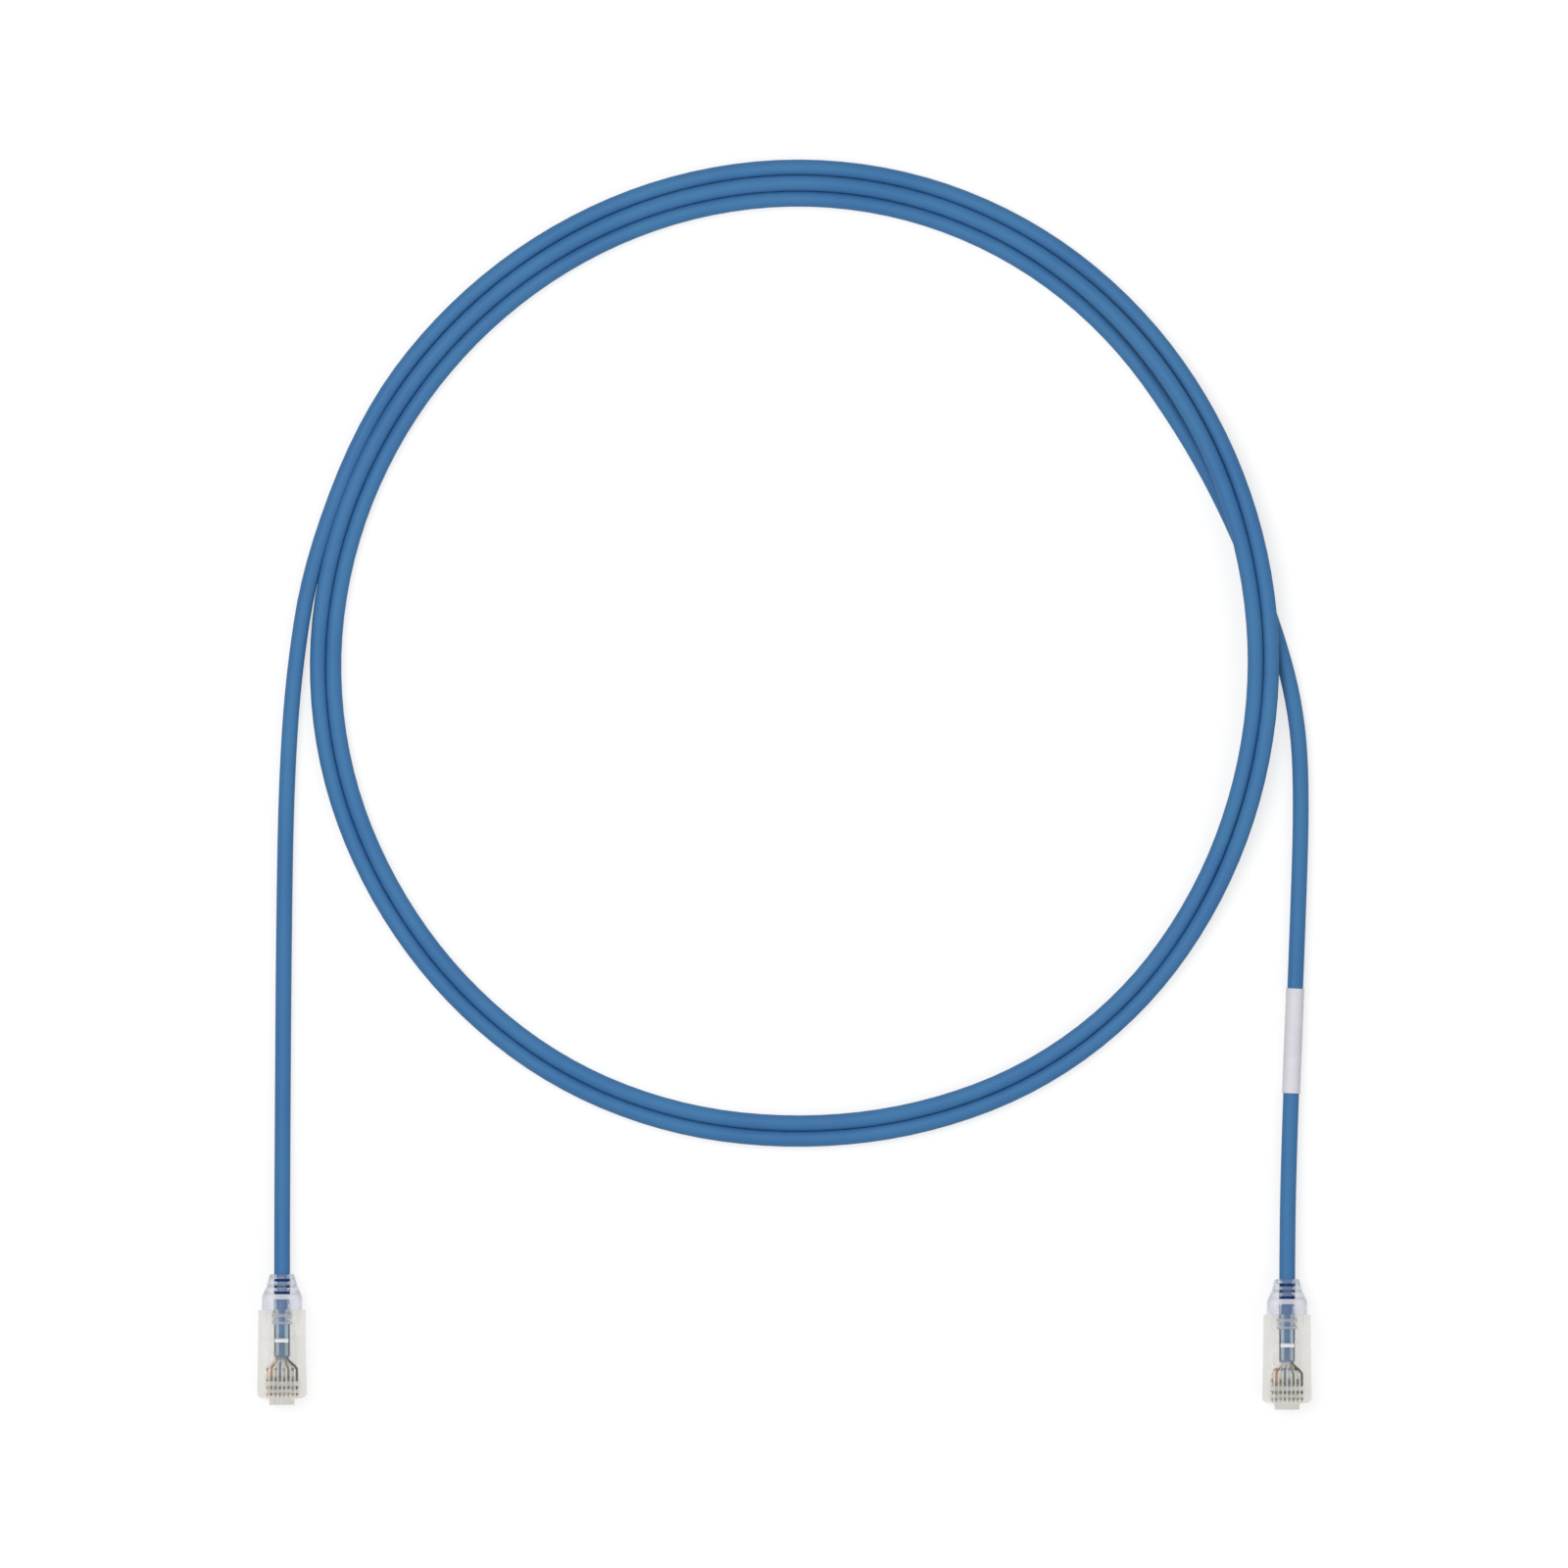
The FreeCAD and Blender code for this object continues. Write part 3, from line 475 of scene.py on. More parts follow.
def make_clear(name, tint, other, index, rough, solid, milk):
    """A clear plastic. Solid is the share of it that bends the light, and milk the cloudy share."""
    finish, shader = make_finish(name, tint, other, drift=300, grain=900, rough=rough, change=0.05, bump=0.04)
    set_values(shader, {"Transmission Weight": 1.0 - milk, "IOR": index, "Alpha": solid})
    return finish


CLEAR = {}
for name, *values in CLEAR_FINISHES:
    CLEAR[name] = make_clear(name, *values)
print("clear and frosted finishes:", list(CLEAR))

# %% [markdown]
# ## Gold and film
# The contacts are gold plated phosphor bronze, and the sleeve on the cable is a matt white plastic film.
# Both come from the same function as the plastics, and the gold is also set to be fully metallic.

# %% Gold and film finishes
gold, gold_shader = make_finish(
    "gold_contact", (222, 182, 96), (205, 160, 78), drift=900, grain=6000, rough=0.22, change=0.15, bump=0.15,
    deep=0.01)
gold_shader.inputs["Metallic"].default_value = 1.0
film = make_finish(
    "white_film", (226, 226, 232), (219, 218, 226), drift=250, grain=4200, rough=0.5, change=0.12,
    bump=0.2)[0]
print("finishes:", gold.name, film.name)

# %% [markdown]
# ## Wire finishes
# Network wire comes in pairs: one of a solid colour and one white with bands of that colour. The bands
# could be painted on each wire, but a wave along y, the way the wires run, mixed over the white gives them
# to all eight. The Wave node goes through 20 radians for each unit of its coordinate, and its scale allows
# for that.

# %% Make the wire finishes
WIRE_TINTS = {
    "orange": (224, 148, 98), "green": (98, 152, 108), "blue": (98, 130, 188), "brown": (60, 38, 28),
}
WIRE_WHITE = (250, 248, 242)
DARKER_SHARE = 0.88
BAND_PITCH = 2.6
BAND_SHARE = 0.82
BAND_SOFT = 0.08
WAVE_RADIANS = 20


def make_wire_finish(name, tint):
    darker = tuple(int(channel * DARKER_SHARE) for channel in tint)
    return make_finish("wire_" + name, tint, darker, drift=500, grain=5000, rough=0.35)


def make_banded_finish(name, tint):
    """White with bands of the tint."""
    finish, shader = make_wire_finish(name, tint)
    tree = finish.node_tree
    where = tree.nodes.new("ShaderNodeTexCoord")
    wave = tree.nodes.new("ShaderNodeTexWave")
    wave.wave_type = "BANDS"
    wave.bands_direction = "Y"
    set_values(wave, {"Scale": 2 * math.pi / (BAND_PITCH * MM * WAVE_RADIANS), "Distortion": 0.0})
    tree.links.new(where.outputs["Object"], wave.inputs["Vector"])
    bands = fade(tree, wave.outputs["Fac"], BAND_SHARE, BAND_SHARE + BAND_SOFT)
    paint = mix_colours(tree, bands, linear(*WIRE_WHITE), tree.nodes["surface"].outputs["Color"])
    tree.links.new(paint, shader.inputs["Base Color"])
    return finish


WIRE_FINISH = {}
for colour, tint in WIRE_TINTS.items():
    WIRE_FINISH[colour] = make_wire_finish(colour, tint)[0]
    WIRE_FINISH["white_" + colour] = make_banded_finish("white_" + colour, tint)
print("wire finishes:", sorted(WIRE_FINISH))

# %% [markdown]
# ## The cable
# The cable is one flexible thing from plug to plug, so it is one curve: a NURBS spline of order 3, whose
# control points are the route. Such a spline runs smoothly inside its control points and never kinks. It
# could also be modelled as a swept mesh, but a curve keeps its round section and stays light.
#
# The leads use the route's own points, and on the right one the cable lies a little higher where the sleeve
# is. The coil is a formula: a nearly round spiral, 24 control points a turn, that steps inward each turn by
# a little less than the cable's width, so that the turns touch. The second turn is wedged up a little
# between its neighbours. A quadratic spline pulls inside its control polygon by a known share, so the
# radius is divided by that share. Where the innermost turn leaves the coil it passes under the two outer
# turns, and these rise over it in one long low hump each.

# %% Route of the leads
CABLE_WIDE = 3.8
LIE = 1.9
SLEEVE_LIE = 2.2
IN_PLUG = 3.6

left_route = [
    (-119.7, -3.575, IN_PLUG), (-119.7, 21.5, IN_PLUG), (-119.6, 49, LIE), (-119.3, 97, LIE),
    (-118.7, 133, LIE), (-116.9, 160, LIE), (-112.6, 186.5, LIE),
]
sleeve_far, sleeve_near = (122.2, 97, SLEEVE_LIE), (120.2, 47, SLEEVE_LIE)
right_route = [
    (96.1, 216.0, LIE), (107.9, 193.4, LIE), (117.05, 169.4, LIE), (122, 150.5, LIE), (123.3, 131, LIE),
    sleeve_far, sleeve_near, (119.7, 20.5, IN_PLUG), (119.7, -4.725, IN_PLUG),
]
print("points on the leads:", len(left_route), "and", len(right_route))

# %% Route of the coil
STEPS_PER_TURN = 24
STEP = 360 / STEPS_PER_TURN
FIRST_ANGLE, LAST_ANGLE = 150, -675
COIL_MIDDLE = Vector((2.05, 162.42, 0))
COIL_RADIUS = 117.1
TURN_PITCH = 3.72
OVAL = 0.77
THREE_CORNERED, CORNER_AT = 0.83, 72
WAVY, WAVE_AT = 0.75, 276


def turns_in(angle):
    """How many turns have been laid since the coil's left side, where the angle is 180."""
    return (180 - angle) / 360


def coil_radius(angle):
    """The radius: a little oval and three-cornered, wavy where it is loose, one pitch less each turn."""
    oval = OVAL * math.cos(math.radians(2 * angle))
    three = THREE_CORNERED * math.cos(math.radians(3 * (angle - CORNER_AT)))
    loose = max(0, -math.sin(math.radians(angle)))
    wavy = WAVY * loose * math.cos(math.radians(5 * (angle - WAVE_AT)))
    return COIL_RADIUS - oval + three - wavy - TURN_PITCH * turns_in(angle)


for angle in (FIRST_ANGLE, 0, LAST_ANGLE):
    print("coil radius at", angle, "degrees:", round(coil_radius(angle), 2), "mm")

# %% Humps and wedge of the coil
HUMPS = ((4, 0), (14, 1))
HUMP_HALF = 17
HUMP_RAMP = 28
HUMP_RISE = 4.1
WEDGE_FROM, WEDGE_TO, WEDGE_RAMP = 0.95, 2.05, 0.1
WEDGE_RISE = 0.6


def clamp(share):
    return min(max(share, 0), 1)


def lift(angle):
    """How high the coil is lifted: at each hump's angle on its own turn, and where it is wedged."""
    rise = 0.0
    for crossing, turns_before in HUMPS:
        away = abs(angle + 360 * turns_before - crossing)
        share = clamp((HUMP_HALF + HUMP_RAMP - away) / HUMP_RAMP)
        rise = max(rise, HUMP_RISE * share * share * (3 - 2 * share))
    turn = turns_in(angle)
    wedged = clamp(min(turn - WEDGE_FROM, WEDGE_TO - turn) / WEDGE_RAMP)
    return rise + WEDGE_RISE * wedged


def coil_route():
    inside = math.cos(math.radians(STEP / 2))
    points = []
    angle = FIRST_ANGLE
    while angle >= LAST_ANGLE:
        around = math.radians(angle)
        reach = coil_radius(angle) / inside
        spot = COIL_MIDDLE + Vector((math.cos(around), math.sin(around), 0)) * reach
        points.append((spot.x, spot.y, LIE + lift(angle)))
        angle -= STEP
    return points


route = left_route + coil_route() + right_route
print("control points:", len(route), "highest at", round(max(point[2] for point in route), 2), "mm")

# %% Sweep the jacket along the route
def make_strand(name, points, width, finish, steps, roundness):
    """A round strand along one NURBS spline, in millimetres, with closed ends."""
    data = bpy.data.curves.new(name, "CURVE")
    data.dimensions = "3D"
    data.resolution_u = steps
    data.render_resolution_u = steps
    data.bevel_depth = width / 2 * MM
    data.bevel_resolution = roundness
    data.use_fill_caps = True
    spline = data.splines.new("NURBS")
    spline.points.add(len(points) - 1)
    for control, point in zip(spline.points, points):
        control.co = (*(Vector(point) * MM), 1)
    spline.order_u = 3
    spline.use_endpoint_u = True
    data.materials.append(finish)
    strand = bpy.data.objects.new(name, data)
    bpy.context.scene.collection.objects.link(strand)
    return strand


cable = make_strand("cable_jacket", route, CABLE_WIDE, jacket, steps=6, roundness=8)
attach(cable, "cable")
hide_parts("cable_coil", "cable_lead_left", "cable_lead_right")
print("cable swept:", cable.name)

# %% [markdown]
# ## Finishing a mesh piece
# Every mesh piece ends the same way: drawn in millimetres, brought to metres at its place, its faces turned
# outward, smooth shading with crisp edges, and then tied to the body it moves with. The object itself stays
# at the origin. A piece can have more than one finish, and then each face says by number which one it
# shows.

# %% Turn a drawn shape into a piece
CRISP_ANGLE = 32


def finish_piece(bm, name, finish, body, place=Vector((0, 0, 0))):
    bmesh.ops.scale(bm, vec=Vector((MM, MM, MM)), verts=bm.verts)
    bmesh.ops.translate(bm, vec=place, verts=bm.verts)
    bmesh.ops.recalc_face_normals(bm, faces=bm.faces)
    mesh = bpy.data.meshes.new(name)
    bm.to_mesh(mesh)
    bm.free()
    mesh.shade_smooth()
    mesh.set_sharp_from_angle(angle=math.radians(CRISP_ANGLE))
    mesh.materials.append(finish)
    piece = bpy.data.objects.new(name, mesh)
    bpy.context.scene.collection.objects.link(piece)
    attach(piece, body)
    return piece


def add_finish(piece, finish):
    """Give a piece one more finish, and return the number by which its faces can show it."""
    piece.data.materials.append(finish)
    return len(piece.data.materials) - 1


def soften_edges(piece, width, angle=28):
    """Round every crisp edge a little, because a moulded edge always catches light."""
    bevel = piece.modifiers.new("moulded_edges", "BEVEL")
    bevel.width = width * MM
    bevel.segments = 2
    bevel.limit_method = "ANGLE"
    bevel.angle_limit = math.radians(angle)
    bevel.use_clamp_overlap = True


print("edges stay crisp past", CRISP_ANGLE, "degrees")

# %% [markdown]
# ## White sleeve
# A plain white sleeve is shrunk round the right lead. It could be a tube with a Solidify modifier, but its
# wall also has two rounded lips that stand a hair prouder than the rest. So the wall's outline is drawn
# once and spun round the cable: a small closed outline keeps the wall even and the ends closed.

# %% Spin the sleeve
SLEEVE_LONG = 25.0
SLEEVE_OUTER = 2.2
SLEEVE_INNER = 1.93
SLEEVE_AT_Y = 71.7
LIP_ROUND = 0.1
LIP_LONG = 0.9
LIP_PROUD = 0.05
SPIN_STEPS = 48


def spin_ring(outline):
    """Spin a closed outline of (radius, along) points round the Z axis."""
    bm = bmesh.new()
    corners = [bm.verts.new((radius, 0, along)) for radius, along in outline]
    edges = [bm.edges.new((corners[i], corners[(i + 1) % len(corners)])) for i in range(len(corners))]
    bmesh.ops.spin(bm, geom=corners + edges, cent=(0, 0, 0), axis=(0, 0, 1), angle=2 * math.pi,
                   steps=SPIN_STEPS, use_merge=True)
    return bm


def make_sleeve():
    half = SLEEVE_LONG / 2
    waist = SLEEVE_OUTER - LIP_PROUD
    bm = spin_ring([
        (SLEEVE_INNER, -half), (SLEEVE_OUTER - LIP_ROUND, -half), (SLEEVE_OUTER, -half + LIP_ROUND),
        (waist, -half + LIP_LONG), (waist, half - LIP_LONG),
        (SLEEVE_OUTER, half - LIP_ROUND), (SLEEVE_OUTER - LIP_ROUND, half), (SLEEVE_INNER, half),
    ])
    start = Vector(sleeve_near)
    along = (Vector(sleeve_far) - start).normalized()
    middle = start + along * ((SLEEVE_AT_Y - start.y) / along.y)
    turn = Vector((0, 0, 1)).rotation_difference(along).to_matrix()
    bmesh.ops.rotate(bm, cent=(0, 0, 0), matrix=turn, verts=bm.verts)
    bmesh.ops.translate(bm, vec=middle, verts=bm.verts)
    return finish_piece(bm, "sleeve", film, "cable")


sleeve = make_sleeve()
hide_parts("cable_label")
print("sleeve spun:", len(sleeve.data.polygons), "faces")

# %% [markdown]
# ## Housings and latches
# The measured housing already has the real outline, the nose, the channel under the latch and the eight
# contact slots. What it lacks is softness: every moulded edge has a small radius. So we take a copy, weld
# its loose triangles, dissolve the flat ones into whole faces and let a Bevel modifier round the edges that
# are left.

# %% Weld a copy of a measured part
WELD_WITHIN = 0.002
FLAT_WITHIN = 0.5


def welded_copy(node):
    """A measured part as whole faces, in millimetres."""
    bm = bmesh.new()
    bm.from_mesh(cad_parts[node].data)
    bmesh.ops.remove_doubles(bm, verts=bm.verts, dist=WELD_WITHIN * MM)
    bmesh.ops.dissolve_limit(bm, angle_limit=math.radians(FLAT_WITHIN), verts=bm.verts, edges=bm.edges)
    bmesh.ops.scale(bm, vec=Vector((1 / MM, 1 / MM, 1 / MM)), verts=bm.verts)
    return bm


print("welded within", WELD_WITHIN, "mm, flat within", FLAT_WITHIN, "degrees")

# %% [markdown]
# The walls inside the housing are more polished than the outside and get a finish of their own. They could
# be picked out by hand, but a rule finds them all: from each face we look straight out, and if another wall
# of the housing is in the way, the face is an inner one.

# %% Tell the inner walls from the outer ones
CLEAR_OF_FACE = 0.01


def polish_inner_walls(housing):
    """Give the walls of the rooms inside a housing their own finish."""
    inner = add_finish(housing, CLEAR["clear_inner_walls"])
    faces = housing.data.polygons
    corners = [vertex.co for vertex in housing.data.vertices]
    tree = BVHTree.FromPolygons(corners, [face.vertices for face in faces])
    for face in faces:
        start = face.center + face.normal * CLEAR_OF_FACE * MM
        if tree.ray_cast(start, face.normal)[0] is not None:
            face.material_index = inner


print("inner walls look at another wall from", CLEAR_OF_FACE, "mm above their face")

# %% [markdown]
# The latches are the only pieces that move: each is a clear lever with a lip at its free end, where a thumb
# presses it. The lip's near-white cloudy finish is a painted highlight where its end catches the light. A
# latch rides on its own body, so that it follows the hinge. Its lip is set a little further out, where the
# photograph shows it.

# %% Make the housings and latches
HOUSING_EDGE = 0.09
LATCH_EDGE = 0.08
GRIP_LONG = 1.0
GRIP_FURTHER = Vector((0, 0.44, 0.1))


def move_lip_and_paint_highlight(latch):
    """Set the lip at the lever's free end a little further out and give it the near-white finish, a painted
    highlight.
    """
    # The lip's near-white cloudy finish is a painted highlight.
    lip = add_finish(latch, CLEAR["painted_grip_highlight"])
    end = max(vertex.co.y for vertex in latch.data.vertices)
    for vertex in latch.data.vertices:
        if vertex.co.y > end - GRIP_LONG * MM:
            vertex.co += GRIP_FURTHER * MM
    for face in latch.data.polygons:
        if face.center.y > end + (GRIP_FURTHER.y - GRIP_LONG) * MM:
            face.material_index = lip


for side in SIDES:
    shape = welded_copy(f"plug_{side}_housing")
    housing = finish_piece(shape, f"housing_{side}", CLEAR["clear_housing"], "cable")
    polish_inner_walls(housing)
    soften_edges(housing, HOUSING_EDGE)
    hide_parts(f"plug_{side}_housing")
    shape = welded_copy(f"plug_{side}_latch")
    latch = finish_piece(shape, f"latch_{side}", CLEAR["clear_latch"], f"latch_{side}")
    move_lip_and_paint_highlight(latch)
    soften_edges(latch, LATCH_EDGE)
    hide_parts(f"plug_{side}_latch")
    print(side, "housing faces", len(housing.data.polygons), "latch faces", len(latch.data.polygons))

# %% [markdown]
# ## Boots
# The boot is a soft clear sleeve behind the plug. A square collar meets the housing, a slim spigot with two
# barbs reaches inside it, and the neck narrows towards the cable in ribs with slots between them, so that
# it can bend. It could be lofted through rings, but here we start from a cube, round its long edges and
# then grow the shape from its end faces: each step extrudes one face and sets its new width and height.

# %% Grow the boot from a cube
BOOT_UP = 3.6
COLLAR_WIDE, COLLAR_LONG, COLLAR_TALL = 9.6, 2.4, 7.0
COLLAR_CORNER, CORNER_STEPS = 2.3, 6
NECK_STEPS = (
    (2.55, 9.55, 7.0), (2.75, 9.45, 6.95), (3.4, 9.3, 6.9), (3.75, 8.95, 6.75), (4.5, 8.4, 6.6),
    (5.3, 7.85, 6.4), (5.5, 7.65, 6.3), (5.65, 7.35, 6.15), (6.3, 7.05, 6.0), (7.3, 6.5, 5.8),
    (8.1, 6.0, 5.6), (8.35, 5.8, 5.45), (8.5, 5.4, 5.15),
)


def cube_between(low, high):
    bm = bmesh.new()
    bmesh.ops.create_cube(bm, size=1.0)
    bmesh.ops.scale(bm, vec=Vector(high) - Vector(low), verts=bm.verts)
    bmesh.ops.translate(bm, vec=(Vector(high) + Vector(low)) / 2, verts=bm.verts)
    return bm


def grow(bm, face, along, wide, tall):
    """Extrude a face along y and give the new face its own width and height."""
    grown = bmesh.ops.extrude_discrete_faces(bm, faces=[face])["faces"][0]
    xs = [vert.co.x for vert in grown.verts]
    zs = [vert.co.z for vert in grown.verts]
    factor = Vector((wide / (max(xs) - min(xs)), 1, tall / (max(zs) - min(zs))))
    bmesh.ops.scale(bm, vec=factor, space=Matrix.Translation((0, 0, -BOOT_UP)), verts=grown.verts)
    bmesh.ops.translate(bm, vec=Vector((0, along - grown.verts[0].co.y, 0)), verts=grown.verts)
    return grown


def end_face(bm, pick):
    """The last face towards the cable, picked by max, or towards the nose, picked by min."""
    return pick(bm.faces, key=lambda face: face.calc_center_median().y)


def collar_and_neck():
    low = (-COLLAR_WIDE / 2, 0, BOOT_UP - COLLAR_TALL / 2)
    high = (COLLAR_WIDE / 2, COLLAR_LONG, BOOT_UP + COLLAR_TALL / 2)
    bm = cube_between(low, high)
    lengthwise = [edge for edge in bm.edges if abs((edge.verts[0].co - edge.verts[1].co).y) > COLLAR_LONG / 2]
    bmesh.ops.bevel(bm, geom=lengthwise, offset=COLLAR_CORNER, offset_type="OFFSET", segments=CORNER_STEPS,
                    profile=0.5, affect="EDGES", material=-1)
    end = end_face(bm, max)
    for along, wide, tall in NECK_STEPS:
        end = grow(bm, end, along, wide, tall)
    return bm


# %% Grow the spigot and its barbs
SPIGOT_WIDE = 4.7
BARB_OUT = 0.3
BARB_STEP = 0.1
BARBS = ((0.9, 1.7), (2.8, 3.4))


def grow_spigot(bm):
    """Slim up to a barb, a small step out, and a taper back to slim, twice."""
    slim = (SPIGOT_WIDE, SPIGOT_WIDE)
    thick = (SPIGOT_WIDE + BARB_OUT, SPIGOT_WIDE + BARB_OUT)
    front = grow(bm, end_face(bm, min), 0, *slim)
    for start, stop in BARBS:
        front = grow(bm, front, -start, *slim)
        front = grow(bm, front, -start - BARB_STEP, *thick)
        front = grow(bm, front, -stop, *slim)


print("spigot length in the plug:", BARBS[-1][1], "mm")

# %% [markdown]
# The bore and the slots are cut afterwards with a Boolean, because they cross the curved neck. Two of the
# slots open on the boot's top and underside. The middle one opens to the sides, with a window above and
# below each flank of the jacket.

# %% Cut away from a shape
def link_shape(bm, name):
    """A drawn shape as an object in the scene, for as long as it is cut."""
    mesh = bpy.data.meshes.new(name)
    bmesh.ops.recalc_face_normals(bm, faces=bm.faces)
    bm.to_mesh(mesh)
    bm.free()
    shape = bpy.data.objects.new(name, mesh)
    bpy.context.scene.collection.objects.link(shape)
    return shape


def cut_away(bm, cutters):
    """Boolean difference of a drawn shape and a list of drawn cutters."""
    rough = link_shape(bm, "rough")
    tools = [link_shape(cutter, "cutter") for cutter in cutters]
    for tool in tools:
        knife = rough.modifiers.new("cut", "BOOLEAN")
        knife.operation = "DIFFERENCE"
        knife.solver = "EXACT"
        knife.object = tool
    seen = rough.evaluated_get(bpy.context.evaluated_depsgraph_get())
    result = bmesh.new()
    result.from_mesh(seen.to_mesh())
    seen.to_mesh_clear()
    for item in tools + [rough]:
        bpy.data.objects.remove(item)
    return result


print("slots to cut at", SLOT_SPOTS, "mm behind the plug")

# %% Shape the cutters
BORE = 1.95
BORE_CUT_LONG, BORE_SIDES = 30, 40
WINDOW_FROM = 1.15
CUT_SIDE = 8
CUT_LOW, CUT_HIGH = -5, 15


def bore_cutter():
    bm = bmesh.new()
    bmesh.ops.create_cone(bm, cap_ends=True, segments=BORE_SIDES, radius1=BORE, radius2=BORE,
                          depth=BORE_CUT_LONG)
    bmesh.ops.rotate(bm, cent=(0, 0, 0), matrix=Matrix.Rotation(math.pi / 2, 3, "X"), verts=bm.verts)
    bmesh.ops.translate(bm, vec=(0, 0, BOOT_UP), verts=bm.verts)
    return bm


def slot_cutters(spot):
    """One cutter across the top and underside, or the middle slot's three."""
    start, stop = spot - SLOT_LONG / 2, spot + SLOT_LONG / 2
    if spot != MIDDLE_SLOT:
        return [cube_between((-BORE, start, CUT_LOW), (BORE, stop, CUT_HIGH))]
    return [
        cube_between((-CUT_SIDE, start, BOOT_UP - BORE), (CUT_SIDE, stop, BOOT_UP + BORE)),
        cube_between((WINDOW_FROM, start, CUT_LOW), (BORE, stop, CUT_HIGH)),
        cube_between((-BORE, start, CUT_LOW), (-WINDOW_FROM, stop, CUT_HIGH)),
    ]


print("bore", 2 * BORE, "mm across, slots", SLOT_LONG, "mm long")

# %% [markdown]
# A boot isn't evenly clear: its shoulder and the barbs of its spigot are whiter and cloudier, as painted
# highlights, the barbs tinted blue for the light that comes through the jacket, and the spigot between them
# is clearer than the neck. Each face gets its finish by its place along the boot. The faces that look along
# the boot or sideways into its bore are left as they are, because the painted highlights on them as well
# would hide the jacket.

# %% Paint highlights on the boots and finish them
RING = (2.5, 3.8)
UPRIGHT = 0.3
BOOT_EDGE = 0.05
BOOT_EDGE_ANGLE = 40


def paint_boot_highlights(boot, place):
    """Paint highlights on the boot's shoulder and the barbs of its spigot, and make the rest of the spigot
    clearer.
    """
    # The shoulder and the barbs get near-white cloudy finishes, which are painted highlights.
    ring = add_finish(boot, CLEAR["painted_shoulder_highlight"])
    spigot = add_finish(boot, CLEAR["clear_spigot"])
    barb = add_finish(boot, CLEAR["painted_barb_highlight"])
    for face in boot.data.polygons:
        spot = (face.center - place) / MM
        if face.normal.x * spot.x <= 0 and abs(face.normal.z) <= UPRIGHT:
            continue
        if RING[0] < spot.y < RING[1]:
            face.material_index = ring
        elif any(start < -spot.y < stop for start, stop in BARBS):
            face.material_index = barb
        elif spot.y < 0:
            face.material_index = spigot


for side in SIDES:
    body = collar_and_neck()
    grow_spigot(body)
    cutters = [bore_cutter()]
    for spot in SLOT_SPOTS:
        cutters += slot_cutters(spot)
    shape = cut_away(body, cutters)
    boot = finish_piece(shape, f"boot_{side}", CLEAR["clear_boot"], "cable", PLUG_AT[side])
    paint_boot_highlights(boot, PLUG_AT[side])
    soften_edges(boot, BOOT_EDGE, BOOT_EDGE_ANGLE)
    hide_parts(f"plug_{side}_boot")
    print(side, "boot faces", len(boot.data.polygons))

# %% [markdown]
# ## Wires
# Eight thin wires leave the jacket inside each plug, fan out to their pins and run straight through the
# load bar. Each is its own NURBS curve: three points hold its direction in the bundle, one starts the fan,
# three hold it in its row, and the spline makes the bends between them. In the bundle the white one of two
# neighbouring wires lies over the other, apart from the last two, where the brown wire is on top.

# %% Lay the wires
WIRES = ("white_orange", "orange", "white_green", "blue", "white_blue", "green", "white_brown", "brown")
WIRE_WIDE = 0.62
PIN_PITCH = 1.02
MIDDLE_PIN, MIDDLE_PAIR = 4.5, 1.5
ROW_LOW, ROW_RISE = 3.05, 0.5
BUNDLE_PITCH, BUNDLE_RISE = 0.7, 0.86
LAST_WHITE_ON_TOP = 6
BUNDLE_DEPTHS = (8.4, 10.4, 11.6)
FAN_DEPTH, FAN_SHARE = 13.7, 0.3
ROW_DEPTHS = (14.7, 16.4, 20.2)


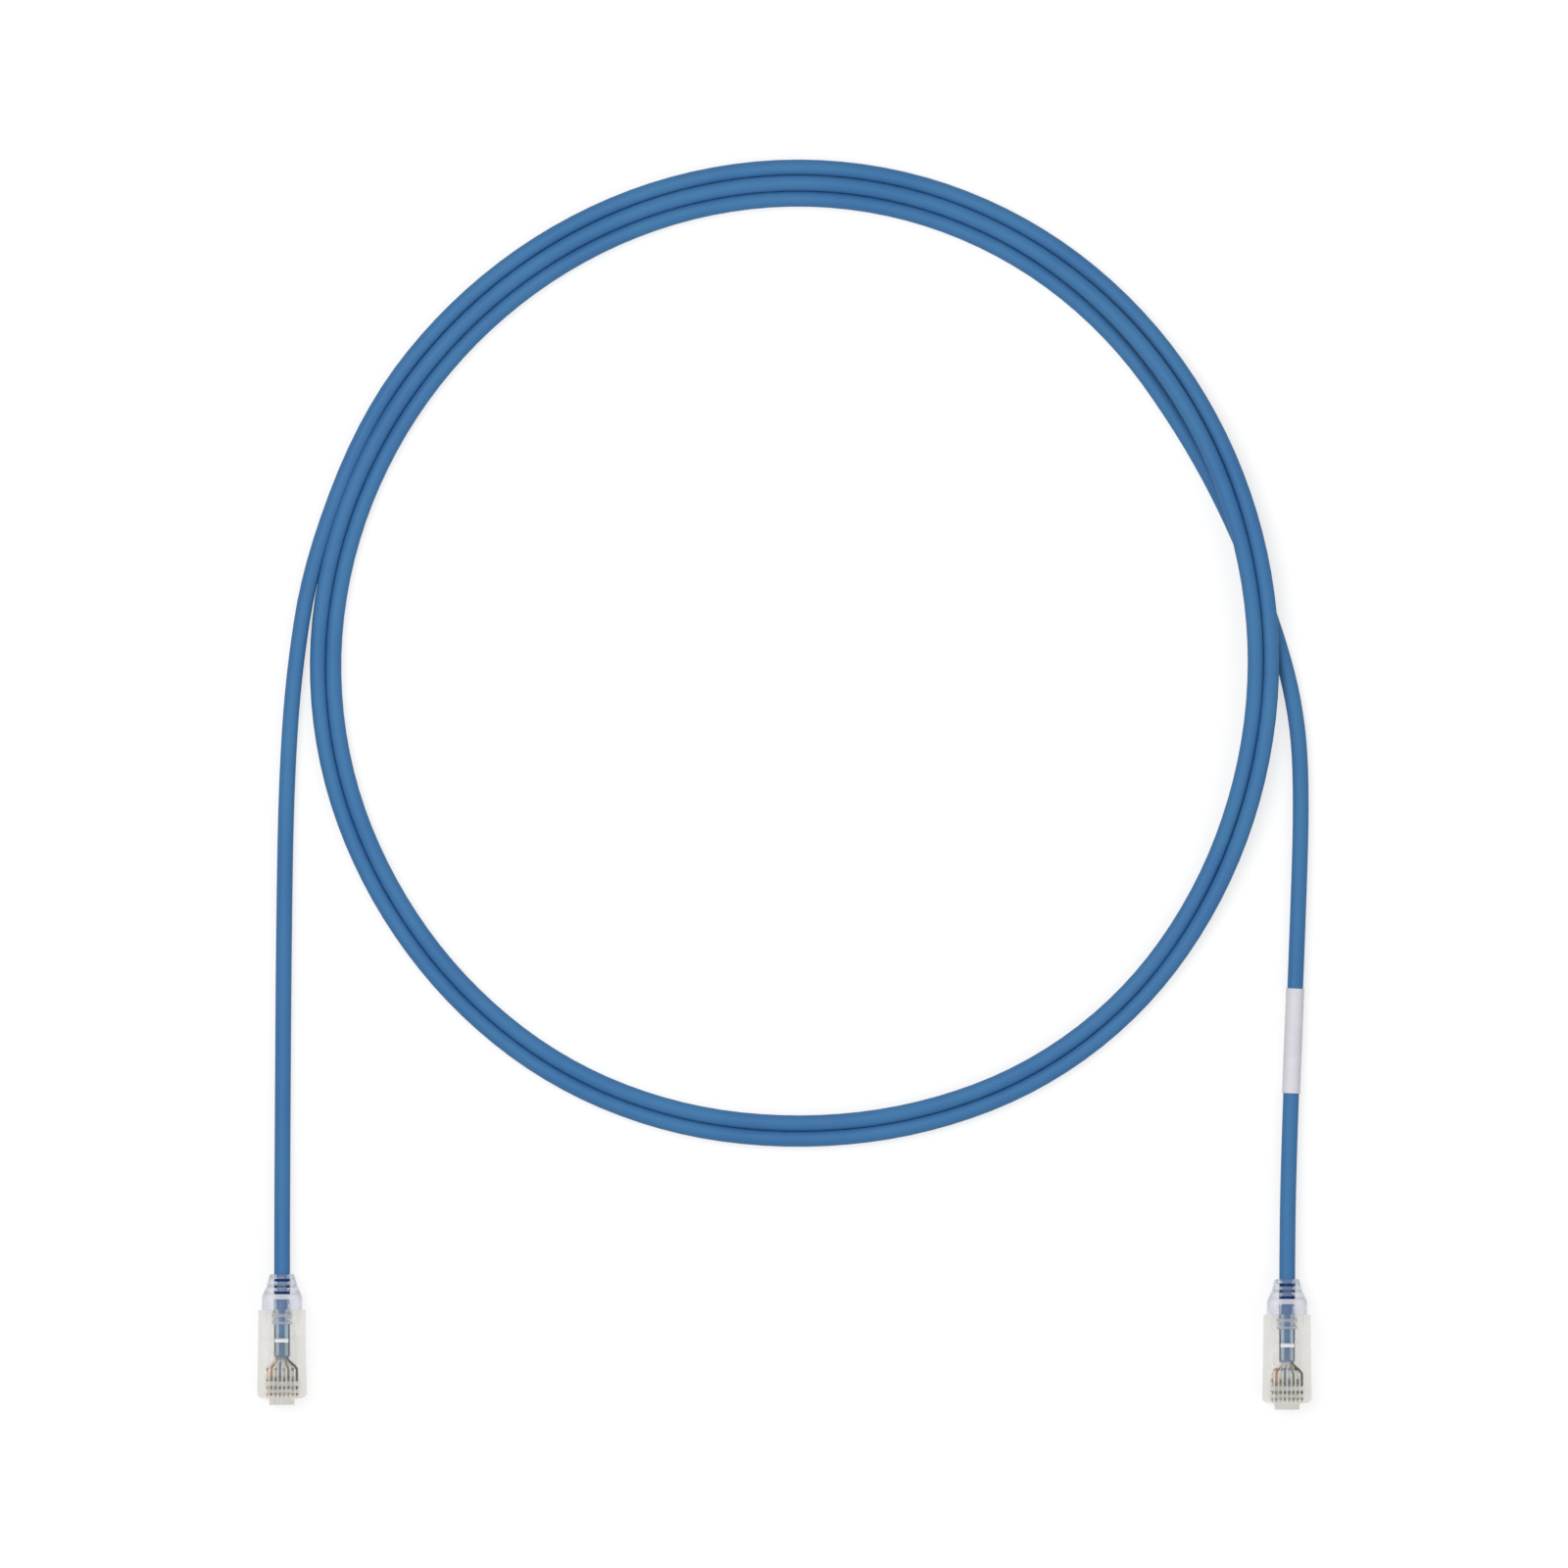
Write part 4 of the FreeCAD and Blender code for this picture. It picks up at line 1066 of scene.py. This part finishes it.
def wire_route(pin):
    """A wire's control points in the plug's own frame. Pins count from 1, and the four pairs from 0."""
    upper = (pin - 1) % 2
    pin_x = (pin - MIDDLE_PIN) * PIN_PITCH
    pin_z = ROW_LOW + upper * ROW_RISE
    on_top = upper if pin > LAST_WHITE_ON_TOP else 1 - upper
    bundle_x = ((pin - 1) // 2 - MIDDLE_PAIR) * BUNDLE_PITCH
    bundle_z = BOOT_UP + (on_top - 0.5) * BUNDLE_RISE
    fan_z = bundle_z + FAN_SHARE * (pin_z - bundle_z)
    bundle = [(bundle_x, -depth, bundle_z) for depth in BUNDLE_DEPTHS]
    row = [(pin_x, -depth, pin_z) for depth in ROW_DEPTHS]
    return bundle + [(pin_x, -FAN_DEPTH, fan_z)] + row


for side in SIDES:
    base = PLUG_AT[side] / MM
    for pin, colour in enumerate(WIRES, start=1):
        points = [base + Vector(point) for point in wire_route(pin)]
        wire = make_strand(
            f"wire_{side}_{colour}", points, WIRE_WIDE, WIRE_FINISH[colour], steps=5, roundness=3)
        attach(wire, "cable")
        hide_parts(f"plug_{side}_wire_{colour}")
    print(side, "wires laid:", len(WIRES))

# %% [markdown]
# ## Contacts
# The measured contacts have the right shape already: eight thin blades in each plug, each with a rounded
# edge and two tines. They keep their mesh and only get their finish.

# %% Gild the contacts
for side in SIDES:
    for pin in range(1, len(WIRES) + 1):
        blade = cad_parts[f"plug_{side}_contact_{pin}"].data
        blade.materials.clear()
        blade.materials.append(gold)
print("finished in place:", len(SIDES) * len(WIRES), "contacts")

# %% [markdown]
# ## Load bars
# The load bar holds the wires in two rows of four. Its top is frosted in two bands, with clear windows
# between them. The bands could be a mask in its material, but their edges are crisp on the real bar. So a
# copy of the measured bar is split across where each band starts and ends, and the faces between get the
# frosted finish.

# %% Dress the load bars
FROSTED_BANDS = ((17.0, 18.1), (18.9, 19.8))
FACING_UP = 0.9
SPLIT_WITHIN = 0.0001


def make_load_bar(side):
    bm = welded_copy(f"plug_{side}_load_bar")
    rear = PLUG_AT[side].y / MM
    for depth in (edge for band in FROSTED_BANDS for edge in band):
        everything = list(bm.verts) + list(bm.edges) + list(bm.faces)
        bmesh.ops.bisect_plane(bm, geom=everything, dist=SPLIT_WITHIN, plane_co=(0, rear - depth, 0),
                               plane_no=(0, 1, 0))
    bar = finish_piece(bm, f"load_bar_{side}", CLEAR["clear_load_bar"], "cable")
    band = add_finish(bar, CLEAR["frosted_band"])
    for face in bar.data.polygons:
        depth = rear - face.center.y / MM
        if face.normal.z > FACING_UP and any(low < depth < high for low, high in FROSTED_BANDS):
            face.material_index = band
    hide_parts(f"plug_{side}_load_bar")
    return bar


for side in SIDES:
    print(side, "load bar faces", len(make_load_bar(side).data.polygons))
